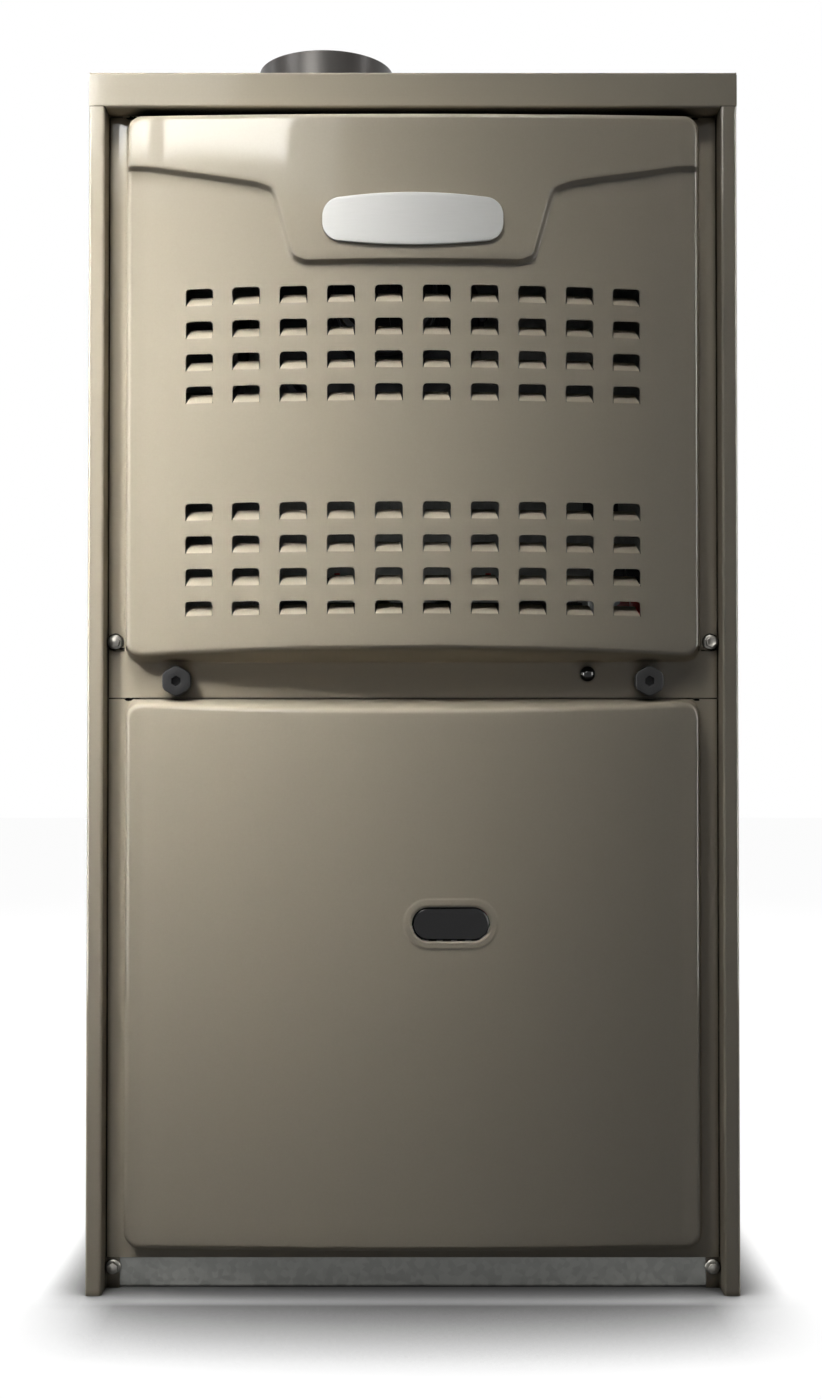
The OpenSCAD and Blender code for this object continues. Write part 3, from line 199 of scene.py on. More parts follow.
@dataclass(frozen=True)
class Finish:
    """One finish of the furnace, made as a procedural material.

    Attributes:
        name: Name of the material, as the record's slot.
        colour: Colour as it shows on a screen.
        grain: The relief and colour change at small scale.
        roughness: Roughness of the base.
        metallic: 1 for bare metal, 0 for paint and plastic.
        coat: Weight of a clear gloss over the base.
        coat_roughness: Roughness of that gloss.
        gloss: Specular level of the base.
        scale: Cells of the grain in a metre.
        relief: Height of the grain in millimetres.
        change: Share by which the grain changes the colour.
        gap_shade_width: Width in millimetres of a narrow gap that the finish darkens as painted shade, or 0.
    """

    name: str
    colour: Rgb
    grain: Grain
    roughness: float = 0.5
    metallic: float = 0.0
    coat: float = 0.0
    coat_roughness: float = 0.1
    gloss: float = 0.5
    scale: float = 600.0
    relief: float = 0.05
    change: float = 0.06
    gap_shade_width: float = 0.0

    def make(self) -> bpy.types.Material:
        """Builds the material.

        Returns:
            The material.
        """
        material = bpy.data.materials.new(self.name)
        material.diffuse_color = linear(self.colour)
        graph = Graph(material)
        place = graph.place()
        fine = self._fine_pattern(graph, place)
        cloud = graph.add("TexNoise", {"Vector": place, "Scale": CLOUD_SCALE, "Detail": CLOUD_DETAIL})
        slow = graph.sum("MULTIPLY", cloud.outputs["Fac"], 1 - GRAIN_SHARE)
        mixed = graph.sum("MULTIPLY_ADD", fine, GRAIN_SHARE, slow)

        shade = graph.add("ValToRGB", {"Fac": mixed})
        for stop, position, share in zip(shade.color_ramp.elements, SHADE_STOPS, (1 - self.change, 1 + self.change)):
            stop.position = position
            stop.color = (*(min(1.0, channel * share) for channel in linear(self.colour)[:3]), 1.0)
        bump = graph.add("Bump", {"Height": fine, "Strength": 1.0, "Distance": self.relief * MM})
        shader = graph.nodes["Principled BSDF"]
        graph.feed(shader, {
            "Base Color": shade.outputs["Color"],
            "Roughness": graph.ramp(mixed, 0.0, 1.0, max(LEAST_ROUGH, self.roughness - ROUGH_SWING),
                                    min(1.0, self.roughness + ROUGH_SWING)),
            "Metallic": self.metallic,
            "Specular IOR Level": self.gloss,
            "Coat Weight": self.coat,
            "Coat Roughness": self.coat_roughness,
            "Normal": bump.outputs["Normal"],
            "Coat Normal": bump.outputs["Normal"],
        })
        # Painted shade: colour and gloss drop in narrow gaps, where light hardly reaches.
        if self.gap_shade_width:
            self._paint_gap_shade(graph, shader, shade.outputs["Color"])
        return material

    def _paint_gap_shade(self, graph: Graph, shader: Node, colour: Socket) -> None:
        """Paints shade where the surface lies deep in a narrow gap, taking colour and gloss away there.

        Args:
            graph: The material's nodes.
            shader: Its shader.
            colour: Socket with the finish's colour.
        """
        share = graph.ramp(graph.openness(self.gap_shade_width * MM, GAP_SHADE_SAMPLES), *GAP_SHADE_STRETCH, GAP_SHADE_KEEPS)
        # The colour dimmed by the painted gap shade.
        painted_shade_colour = graph.add("VectorMath", {0: colour, "Scale": share}, "SCALE")
        graph.feed(shader, {
            "Base Color": painted_shade_colour.outputs["Vector"],
            "Specular IOR Level": graph.sum("MULTIPLY", share, self.gloss),
            "Coat Weight": graph.sum("MULTIPLY", share, self.coat),
        })

    def _fine_pattern(self, graph: Graph, place: Socket) -> Socket:
        """Adds the grain's own pattern.

        Args:
            graph: The material's nodes.
            place: Socket with the place in the piece.

        Returns:
            Socket with the pattern, from 0 to 1.
        """
        if self.grain is Grain.SPANGLE:
            cells = graph.add("TexVoronoi", {"Vector": place, "Scale": self.scale})
            return graph.add("SeparateColor", {"Color": cells.outputs["Color"]}).outputs[0]
        if self.grain is Grain.BRUSHED:
            place = graph.add("Mapping", {"Vector": place, "Scale": BRUSH_STRETCH}).outputs["Vector"]
        detail = COARSE_DETAIL if self.grain in (Grain.CAST, Grain.FIRED) else FINE_DETAIL
        pattern = graph.add("TexNoise", {"Vector": place, "Scale": self.scale, "Detail": detail})
        if self.grain is Grain.CRINKLED:
            graph.feed(pattern, {"Distortion": CRINKLE})
        return pattern.outputs["Fac"]


FINISHES: tuple[Finish, ...] = (
    # The casing paint gets painted shade in gaps narrower than 9 mm.
    Finish("casing_paint", (163, 154, 137), Grain.PEEL, 0.5, coat=0.35, coat_roughness=0.05, gloss=0.06, scale=700,
           relief=0.011, change=0.02, gap_shade_width=9.0),
    Finish("galvanised", (132, 133, 130), Grain.SPANGLE, 0.5, 0.75, scale=240, relief=0.004, change=0.07),
    Finish("vent_black", (38, 34, 31), Grain.BRUSHED, 0.34, 0.25, gloss=0.35, scale=900, relief=0.01, change=0.1),
    Finish("badge_metal", (178, 178, 176), Grain.BRUSHED, 0.45, 0.15, gloss=0.3, scale=1600, relief=0.006,
           change=0.02),
    Finish("black_plastic", (26, 26, 27), Grain.MOULDED, 0.5, gloss=0.2, scale=1500, relief=0.02),
    Finish("gloss_black", (12, 12, 13), Grain.GLOSS, 0.12, coat=0.15, coat_roughness=0.04, gloss=0.2, scale=60,
           relief=0.002),
    Finish("zinc", (122, 120, 115), Grain.BRUSHED, 0.38, 0.85, scale=1500, relief=0.01, change=0.1),
    Finish("aluminised", (150, 150, 147), Grain.BRUSHED, 0.45, 0.8, scale=500, relief=0.02, change=0.1),
    Finish("foil_blanket", (196, 197, 198), Grain.CRINKLED, 0.32, 0.9, scale=70, relief=0.8, change=0.08),
    Finish("dark_motor", (46, 47, 49), Grain.CAST, 0.42, coat=0.3, scale=900, relief=0.03),
    Finish("gas_pipe", (54, 52, 50), Grain.CAST, 0.5, 0.4, scale=500, relief=0.05),
    Finish("brass", (196, 162, 92), Grain.BRUSHED, 0.28, 1.0, scale=1500, relief=0.01),
    Finish("valve_metal", (150, 152, 154), Grain.CAST, 0.45, 0.8, scale=1100, relief=0.05),
    Finish("red_plastic", (170, 34, 28), Grain.MOULDED, 0.36, scale=1500, relief=0.01),
    Finish("ceramic", (214, 208, 194), Grain.FIRED, 0.8, scale=900, relief=0.04),
    Finish("rubber_hose", (34, 34, 35), Grain.MOULDED, 0.6, scale=900, relief=0.02),
    Finish("board_green", (34, 82, 52), Grain.MOULDED, 0.35, coat=0.4, scale=700, relief=0.01),
    Finish("lamination", (92, 88, 84), Grain.BRUSHED, 0.5, 0.7, scale=1800, relief=0.05, change=0.2),
    Finish("white_plastic", (218, 217, 212), Grain.MOULDED, 0.4, scale=1500, relief=0.01, change=0.02),
    Finish("galvanised_wheel", (168, 170, 171), Grain.SPANGLE, 0.4, 0.85, scale=160, relief=0.01, change=0.1),
    Finish("shaft_steel", (150, 150, 150), Grain.BRUSHED, 0.25, 1.0, scale=2000, relief=0.005),
)


class Paintbox:
    """Makes each finish once and hands it out by its slot."""

    def __init__(self, finishes: Iterable[Finish]) -> None:
        """Builds every material."""
        self.materials = {finish.name: finish.make() for finish in finishes}

    def __getitem__(self, slot: str) -> bpy.types.Material:
        """Returns the material of a slot."""
        return self.materials[slot]

    def dress_nodes(self) -> None:
        """Gives each carried-over solid the material of its own slot."""
        for entry in frame["record"]["subparts"]:
            node = frame["nodes"][entry["node"]]
            if node.material_slots:
                for held in node.material_slots:
                    held.material = self[entry["material_slot"]]
            else:
                node.data.materials.append(self[entry["material_slot"]])


# ---------------------------------------------------------------- shop floor

@dataclass
class Workshop:
    """Turns a mesh in millimetres into a finished piece in its place.

    Attributes:
        paints: The materials.
        front_y: Place of the cabinet's front plane on Y, in metres.
    """

    paints: Paintbox
    front_y: float = field(default_factory=lambda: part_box("left_side_panel")[0][1])

    def piece(self, mesh: BMesh, name: str, body: str, slot: str, nodes: Sequence[str] = (),
              sharp: float = 35.0, sheet: float = 0.0) -> bpy.types.Object:
        """Finishes one piece.

        Args:
            mesh: The piece in millimetres, as x, e and z. It is freed.
            name: Name of the piece.
            body: The body it rides on.
            slot: The record's material slot.
            nodes: The solids that it stands for.
            sharp: Least angle between faces that stays sharp, in degrees.
            sheet: Thickness that a spun or folded sheet gets, half to each side.

        Returns:
            The finished piece.
        """
        to_place = Matrix.Translation((0, self.front_y, 0)) @ Matrix.Scale(MM, 4)
        bmesh.ops.transform(mesh, matrix=to_place, verts=mesh.verts)
        data = bpy.data.meshes.new(name)
        mesh.to_mesh(data)
        mesh.free()
        data.polygons.foreach_set("use_smooth", [True] * len(data.polygons))
        data.set_sharp_from_angle(angle=math.radians(sharp))
        data.materials.append(self.paints[slot])
        made = bpy.data.objects.new(name, data)
        bpy.context.scene.collection.objects.link(made)
        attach(made, body)
        if nodes:
            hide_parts(*nodes)
        if sheet:
            wall = made.modifiers.new("sheet", "SOLIDIFY")
            wall.thickness, wall.offset = sheet * MM, 0.0
        LOG.info("%s: %d faces on %s", name, len(data.polygons), body)
        return made


def smoothstep(value: float) -> float:
    """Returns a soft step from 0 at 0 to 1 at 1."""
    value = min(1.0, max(0.0, value))
    return value * value * (3 - 2 * value)


def lerp(low: float, high: float, share: float) -> float:
    """Returns the value at a share of the way from low to high."""
    return low + (high - low) * share


def spread(low: float, high: float, most: float) -> list[float]:
    """Divides a stretch evenly.

    Args:
        low: The stretch's start.
        high: The stretch's end.
        most: Longest step.

    Returns:
        The values from start to end, both included.
    """
    count = max(1, math.ceil((high - low) / most - 1e-6))
    return [lerp(low, high, k / count) for k in range(count + 1)]


def filled(lines: Iterable[float], most: float, least: float = 0.25) -> list[float]:
    """Sorts grid lines, drops near doubles and divides what is too wide.

    Args:
        lines: The lines' values.
        most: Widest gap that stays.
        least: Narrowest gap that stays.

    Returns:
        The sorted lines.
    """
    kept: list[float] = []
    for value in sorted(lines):
        if not kept or value - kept[-1] > least:
            kept.append(value)
    out = [kept[0]]
    for low, high in zip(kept, kept[1:]):
        out.extend(spread(low, high, most)[1:])
    return out


def rounded_path(points: Sequence[Flat], radius: float, steps: int = 8) -> list[Flat]:
    """Rounds the inner corners of an open path.

    Args:
        points: The path's corners.
        radius: Radius of every inner corner.
        steps: Steps over each arc.

    Returns:
        The path with an arc at each inner corner.
    """
    path = [Vector(point) for point in points]
    out = [path[0]]
    for before, here, after in zip(path, path[1:], path[2:]):
        into, away = (here - before).normalized(), (after - here).normalized()
        turn = into.angle_signed(away)
        reach = radius * math.tan(abs(turn) / 2)
        side = math.copysign(1.0, turn)
        centre = here - into * reach + Vector((into.y, -into.x)) * radius * side
        start = here - into * reach - centre
        for k in range(steps + 1):
            out.append(centre + Matrix.Rotation(-turn * k / steps, 2) @ start)
    out.append(path[-1])
    return [(point.x, point.y) for point in out]


def polar(radius: float, angle: float, middle: Flat = (0.0, 0.0)) -> Flat:
    """Returns the point at a radius and an angle in degrees round a middle."""
    turn = math.radians(angle)
    return middle[0] + radius * math.cos(turn), middle[1] + radius * math.sin(turn)


def around(count: int, radius: float, middle: Flat, start: float = 0.0) -> list[Flat]:
    """Returns evenly spread points round a middle, the first at the start angle in degrees."""
    return [polar(radius, start + 360 / count * k, middle) for k in range(count)]


def verts_of(items: Iterable[object]) -> list[Vert]:
    """Returns the vertices among an operator's results."""
    return [item for item in items if isinstance(item, Vert)]


def edges_of(items: Iterable[object]) -> list[Edge]:
    """Returns the edges among an operator's results."""
    return [item for item in items if isinstance(item, Edge)]


def soften(mesh: BMesh, geom: Sequence[object], offset: float, segments: int, profile: float = 0.5,
           affect: str = "EDGES") -> list[Vert]:
    """Bevels edges or corners.

    Args:
        mesh: The mesh.
        geom: The edges or the corner vertices.
        offset: Width of the bevel.
        segments: Steps over it.
        profile: Its roundness, with 0.5 for an arc.
        affect: EDGES or VERTICES.

    Returns:
        The bevel's vertices.
    """
    return bmesh.ops.bevel(mesh, geom=geom, offset=offset, segments=segments, profile=profile, affect=affect,
                           material=-1)["verts"]


def face_front(mesh: BMesh) -> None:
    """Turns an open sheet's faces to the front.

    Args:
        mesh: The sheet.
    """
    bmesh.ops.recalc_face_normals(mesh, faces=mesh.faces)
    if sum(face.normal.y for face in mesh.faces) > 0:
        bmesh.ops.reverse_faces(mesh, faces=mesh.faces)


class Form:
    """A mesh under construction, in millimetres as x, e and z."""

    def __init__(self) -> None:
        """Starts an empty mesh."""
        self.mesh = bmesh.new()

    def block(self, low: Point, high: Point, soft: float = 0.0, segments: int = 2) -> "Form":
        """Adds a box between two corners.

        Args:
            low: The lowest corner.
            high: The highest corner.
            soft: Radius of its edges.
            segments: Steps over each edge.

        Returns:
            The form.
        """
        size = Vector(high) - Vector(low)
        place = Matrix.Translation((Vector(high) + Vector(low)) / 2) @ Matrix.Diagonal((*size, 1))
        verts = bmesh.ops.create_cube(self.mesh, size=1.0, matrix=place)["verts"]
        if soft:
            soften(self.mesh, list({edge for vert in verts for edge in vert.link_edges}), soft, segments)
        return self

    def lathe(self, profile: Sequence[Flat], start: Point, axis: Point, steps: int = 48) -> "Form":
        """Turns a profile about an axis.

        Args:
            profile: Radius and distance along the axis of each point.
            start: Where the axis starts.
            axis: Direction of the axis.
            steps: Steps round it.

        Returns:
            The form.
        """
        along = Vector(axis).normalized()
        outwards = along.orthogonal().normalized()
        verts = [self.mesh.verts.new(Vector(start) + along * far + outwards * radius) for radius, far in profile]
        edges = [self.mesh.edges.new(pair) for pair in zip(verts, verts[1:])]
        bmesh.ops.spin(self.mesh, geom=verts + edges, cent=start, axis=along, dvec=(0, 0, 0),
                       angle=2 * math.pi, steps=steps, use_merge=True)
        return self

    def bar(self, start: Point, end: Point, radius: float, soft: float = 0.4, steps: int = 32) -> "Form":
        """Adds a round bar with softened ends.

        Args:
            start: One end.
            end: The other end.
            radius: Its radius.
            soft: Chamfer of its ends.
            steps: Steps round it.

        Returns:
            The form.
        """
        axis = Vector(end) - Vector(start)
        far = axis.length
        profile = [(0, 0), (radius - soft, 0), (radius, soft), (radius, far - soft), (radius - soft, far), (0, far)]
        return self.lathe(profile, start, tuple(axis), steps)

    def prism(self, outline: Sequence[Flat], near: float, far: float, corner: float = 0.0,
              soft: float = 0.0, segments: int = 3) -> "Form":
        """Extrudes an outline drawn in x and z along the depth.

        Args:
            outline: The outline's corners.
            near: Depth of its front face.
            far: Depth of its back face.
            corner: Bevel of the outline's corners.
            soft: Bevel of the front and back edges.
            segments: Steps over each bevel.

        Returns:
            The form.
        """
        verts = [self.mesh.verts.new((x, near, z)) for x, z in outline]
        face = bmesh.ops.contextual_create(self.mesh, geom=verts)["faces"][0]
        if corner:
            face = soften(self.mesh, verts, corner, 2 * segments, affect="VERTICES")[0].link_faces[0]
        rim = list(face.edges)
        moved = bmesh.ops.extrude_face_region(self.mesh, geom=[face], use_keep_orig=True)["geom"]
        bmesh.ops.translate(self.mesh, vec=(0, far - near, 0), verts=verts_of(moved))
        if soft:
            soften(self.mesh, rim + edges_of(moved), soft, segments)
        return self

    def done(self) -> BMesh:
        """Merges doubles, turns the faces outwards and returns the mesh."""
        bmesh.ops.remove_doubles(self.mesh, verts=self.mesh.verts, dist=0.005)
        bmesh.ops.recalc_face_normals(self.mesh, faces=self.mesh.faces)
        return self.mesh


@dataclass
class SubAssembly:
    """A part of the furnace that builds its own pieces.

    Attributes:
        shop: The workshop that finishes them.
    """

    shop: Workshop

    def build(self) -> None:
        """Builds every piece. Each sub-assembly has its own way."""


# ---------------------------------------------------------------- doors

@dataclass
class Line:
    """One grid line of a drawn door.

    Attributes:
        place: Place on the face, or where the face meets the ring.
        ring: 0 on the face, and from 1 over the drawn edge out to the flange's rim.
        side: -1 or 1 for the edge that the ring runs along, and 0 on the face.
    """

    place: float
    ring: int = 0
    side: int = 0


class Stretch(Enum):
    """The stretches of a door's drawn edge, from the face out."""

    ARC = "rounded edge of the face"
    WALL = "drafted wall"
    BASE = "hollow at the wall's foot"
    FLANGE = "flat flange"


@dataclass
class DrawnDoor(SubAssembly):
    """A door drawn from one sheet: a crowned pan with a flat flange round it.

    Attributes:
        node: The solid that the skin stands for.
        body: The body it rides on.
        low, high, half_w: The flange's lower and upper edge and its half width.
        pan_low, pan_high, pan_half_w: The pan's, where it meets the flange.
        flange_e, sheet: The flange's depth and the sheet's thickness.
        crown_r, rise: Radius of the crown and its height over the flange.
        side_draft, low_draft, high_draft: Lean of the walls, in degrees.
        edge_r, corner_r, base_r: Radii of the face's edge, the pan's corners and the walls' foot.
        side_ramp, end_ramp: How far into the face the walls' lean is felt.
        step, least: Widest and narrowest gap between grid lines.
    """

    node: str = "lower_door_panel"
    body: str = "lower_door"
    low: float = 21.3
    high: float = 406.3
    pan_low: float = 28.8
    pan_high: float = 406.3
    half_w: float = 211.0
    pan_half_w: float = 198.7
    flange_e: float = 16.8
    sheet: float = 1.2
    crown_r: float = 888.0
    rise: float = 35.8
    side_draft: float = 8.0
    low_draft: float = 11.5
    high_draft: float = 11.5
    edge_r: float = 3.4
    corner_r: float = 10.5
    base_r: float = 1.4
    side_ramp: float = 28.0
    end_ramp: float = 20.0
    arc_steps: int = 6
    step: float = 8.0
    least: float = 0.1
    edge_round: float = 0.3
    sharp: float = 42.0

    def __post_init__(self) -> None:
        """Works out where the face ends and the ring begins."""
        self.face_x = self.pan_half_w - self.corner_r
        self.face_low = self.pan_low + self.corner_r
        self.face_high = self.pan_high - self.corner_r
        self.stations = (
            [(Stretch.ARC, 90.0 * k / self.arc_steps) for k in range(self.arc_steps + 1)]
            + [(Stretch.WALL, share) for share in (0.66, 0.33)]
            + [(Stretch.BASE, angle) for angle in (0.0, 30.0, 60.0, 90.0)]
            + [(Stretch.FLANGE, share) for share in (0.5, 1.0)]
        )

    # -- shape

    def crown(self, x: float, z: float) -> float:
        """Returns the face's height over the flange at a place."""
        return self.rise - (self.crown_r - math.sqrt(self.crown_r ** 2 - x * x))

    def edge_point(self, kind: Stretch, value: float, height: float) -> Flat:
        """Finds one ring of the drawn edge, short of the flange.

        Args:
            kind: The stretch that the ring lies in.
            value: Its angle in degrees, or its share of the wall's height.
            height: The face's height where the edge starts.

        Returns:
            Distance outwards from the ring's middle, and height over the flange.
        """
        radius, foot = self.edge_r, self.base_r
        if kind is Stretch.WALL:
            return self.corner_r, lerp(foot, height - radius, value)
        turn = math.radians(value)
        if kind is Stretch.ARC:
            return self.corner_r - radius + radius * math.sin(turn), height - radius * (1 - math.cos(turn))
        return self.corner_r + foot * (1 - math.cos(turn)), foot * (1 - math.sin(turn))

    def shape(self, column: Line, row: Line) -> Point:
        """Maps one crossing of the grid to its place on the door.

        Args:
            column: The upright grid line.
            row: The level grid line.

        Returns:
            The place as x, e and z.
        """
        x, z = column.place, self.row_height(row, column.place)
        up = self.crown(x, z)
        a, b = column.ring, row.ring
        if a or b:
            ring = max(a, b)
            turn = math.pi / 4 * b / a if a >= b else math.pi / 2 - math.pi / 4 * a / b
            rim_x = self.half_w - self.face_x
            rim_z = (self.high - self.face_high) if row.side > 0 else (self.face_low - self.low)
            kind, value = self.stations[ring - 1]
            if kind is Stretch.FLANGE:
                start, up = self.corner_r + self.base_r, 0.0
                off_x = lerp(start * math.cos(turn), rim_x * a / ring, value)
                off_z = lerp(start * math.sin(turn), rim_z * b / ring, value)
            else:
                out, up = self.edge_point(kind, value, up)
                off_x, off_z = out * math.cos(turn), out * math.sin(turn)
            x += column.side * min(off_x, rim_x)
            z += row.side * min(off_z, rim_z)
        to_side = 1 - smoothstep((self.face_x - abs(column.place)) / self.side_ramp)
        x -= math.copysign(up * math.tan(math.radians(self.side_draft)) * to_side, x)
        top = 1 - smoothstep((self.face_high - z) / self.end_ramp)
        bottom = 1 - smoothstep((z - self.face_low) / self.end_ramp)
        z += up * (bottom * math.tan(math.radians(self.low_draft)) - top * math.tan(math.radians(self.high_draft)))
        return (x, self.flange_e - up, z)

    def row_height(self, row: Line, x: float) -> float:
        """Returns the height of a level grid line where it crosses x."""
        return row.place

    # -- grid

    def lines(self, low: float, high: float, inner: Iterable[float]) -> list[Line]:
        """Puts the drawn edge's rings at both ends of the face's lines.

        Args:
            low: Where the face meets the lower or left edge.
            high: Where it meets the other edge.
            inner: Places of the face's own lines.

        Returns:
            All the lines in order.
        """
        rings = range(1, len(self.stations) + 1)
        return ([Line(low, k, -1) for k in reversed(rings)] + [Line(place) for place in inner]
                + [Line(high, k, 1) for k in rings])

    def column_lines(self) -> list[float]:
        """Returns what sets the face's upright lines."""
        ramp = self.face_x - self.side_ramp
        return [*spread(-self.face_x, -ramp, 4), *spread(ramp, self.face_x, 4)]

    def row_lines(self) -> list[float]:
        """Returns what sets the face's level lines."""
        return [*spread(self.face_low, self.face_low + self.end_ramp, 2.4),
                *spread(self.face_high - self.end_ramp, self.face_high, 2.4)]

    def inner_rows(self) -> list[float]:
        """Returns the face's level lines."""
        return filled(self.row_lines(), self.step, self.least)

    def lay(self) -> None:
        """Lays the grid and draws it to the door's shape."""
        self.columns = self.lines(-self.face_x, self.face_x, filled(self.column_lines(), self.step, self.least))
        self.rows = self.lines(self.face_low, self.face_high, self.inner_rows())
        self.mesh = bmesh.new()
        across, up = len(self.columns) - 1, len(self.rows) - 1
        bmesh.ops.create_grid(self.mesh, x_segments=across, y_segments=up, size=1.0)
        self.table: list[list[Vert]] = [[None] * (across + 1) for _ in range(up + 1)]
        for vert in self.mesh.verts:
            self.table[round((vert.co.y + 1) / 2 * up)][round((vert.co.x + 1) / 2 * across)] = vert
        for row, verts in zip(self.rows, self.table):
            for column, vert in zip(self.columns, verts):
                vert.co = Vector(self.shape(column, row))

    def cut(self) -> None:
        """Cuts the door's openings. A plain door has none."""

    def cut_cells(self, across: range, up: range, within: Callable[[int, int], bool]) -> None:
        """Cuts an outline whose corners lie on crossings of the grid.

        Args:
            across: The columns of cells to look at.
            up: The rows of cells to look at.
            within: Whether the crossing of a column and a row lies inside the outline or on it.
        """
        doomed: list[bmesh.types.BMFace] = []
        for j in up:
            for i in across:
                crossings = [(i, j), (i + 1, j), (i + 1, j + 1), (i, j + 1)]
                verts = [self.table[b][a] for a, b in crossings]
                found = set(verts[0].link_faces) & set(verts[2].link_faces)
                held = [within(a, b) for a, b in crossings]
                if not found or sum(held) < 3:
                    continue
                cell = found.pop()
                if sum(held) == 3:
                    out = held.index(False)
                    part, _ = bmesh.utils.face_split(cell, verts[out - 1], verts[(out + 1) % 4])
                    cell = part if verts[(out + 2) % 4] in part.verts else cell
                doomed.append(cell)
        bmesh.ops.delete(self.mesh, geom=doomed, context="FACES")

    def build(self) -> None:
        """Builds the door's skin and gives it its thickness and its rounded cut edges."""
        self.lay()
        self.cut()
        bmesh.ops.remove_doubles(self.mesh, verts=self.mesh.verts, dist=0.002)
        face_front(self.mesh)
        made = self.shop.piece(self.mesh, self.node + "_skin", self.body, "casing_paint", (self.node,), self.sharp)
        wall = made.modifiers.new("sheet", "SOLIDIFY")
        wall.thickness, wall.offset = self.sheet * MM, -1.0
        rim = made.modifiers.new("cut edges", "BEVEL")
        rim.width, rim.segments = self.edge_round * MM, 2
        rim.limit_method, rim.angle_limit = "ANGLE", math.radians(55)
        rim.harden_normals = True


@dataclass
class LowerDoor(DrawnDoor):
    """The lower door, with the sight window's opening in a drawn rim."""

    window_x: float = 25.5
    window_z: float = 254.5
    window_w: float = 52.6
    window_h: float = 22.6
    rim_w: float = 5.4
    rim_rise: float = 0.6
    rim_soft: float = 1.6
    lip_w: float = 1.5
    lip_drop: float = 0.7
    near_step: float = 0.5
    near_steps: int = 14

    def to_window(self, x: float, z: float) -> float:
        """Measures how far a place is from the window's outline.

        Args:
            x: The place across the door.
            z: The place up from the floor.

        Returns:
            The distance, below 0 inside the window.
        """
        radius = self.window_h / 2
        straight = self.window_w / 2 - radius
        return math.hypot(max(0.0, abs(x - self.window_x) - straight), z - self.window_z) - radius

    def crown(self, x: float, z: float) -> float:
        """Adds the raised rim and the rolled lip of the window to the face.

        Args:
            x: The place across the door.
            z: The place up from the floor.

        Returns:
            The face's height over the flange.
        """
        out = self.to_window(x, z)
        raised = self.rim_rise * (1 - smoothstep((out - self.rim_w) / self.rim_soft + 0.5))
        return super().crown(x, z) + raised - self.lip_drop * (1 - smoothstep(out / self.lip_w))

    def window_lines(self, middle: float, half: float, arc: Iterable[float]) -> list[float]:
        """Works out the window's grid lines one way.

        Args:
            middle: The window's middle.
            half: Half of its width or height.
            arc: Distances of its round ends' steps from the middle.

        Returns:
            The lines of the outline and the close lines round it.
        """
        steps = [*arc, *(half + self.near_step * k for k in range(1, self.near_steps + 1))]
        return [middle + side * step for step in steps for side in (-1, 1)]

    def column_lines(self) -> list[float]:
        """Adds the window's upright lines.

        Returns:
            What sets the face's upright lines.
        """
        radius = self.window_h / 2
        arc = [self.window_w / 2 - radius + radius * math.sin(math.radians(a)) for a in range(0, 91, 9)]
        return super().column_lines() + self.window_lines(self.window_x, self.window_w / 2, arc)

    def row_lines(self) -> list[float]:
        """Adds the window's level lines."""
        arc = [self.window_h / 2 * math.cos(math.radians(a)) for a in range(0, 91, 9)]
        return super().row_lines() + self.window_lines(self.window_z, self.window_h / 2, arc)

    def cut(self) -> None:
        """Cuts the window's stadium out of the grid."""
        def within(i: int, j: int) -> bool:
            """Tells whether a crossing lies in the window."""
            column, row = self.columns[i], self.rows[j]
            return not column.ring and not row.ring and self.to_window(column.place, row.place) < 0.01

        self.cut_cells(range(len(self.columns) - 1), range(len(self.rows) - 1), within)


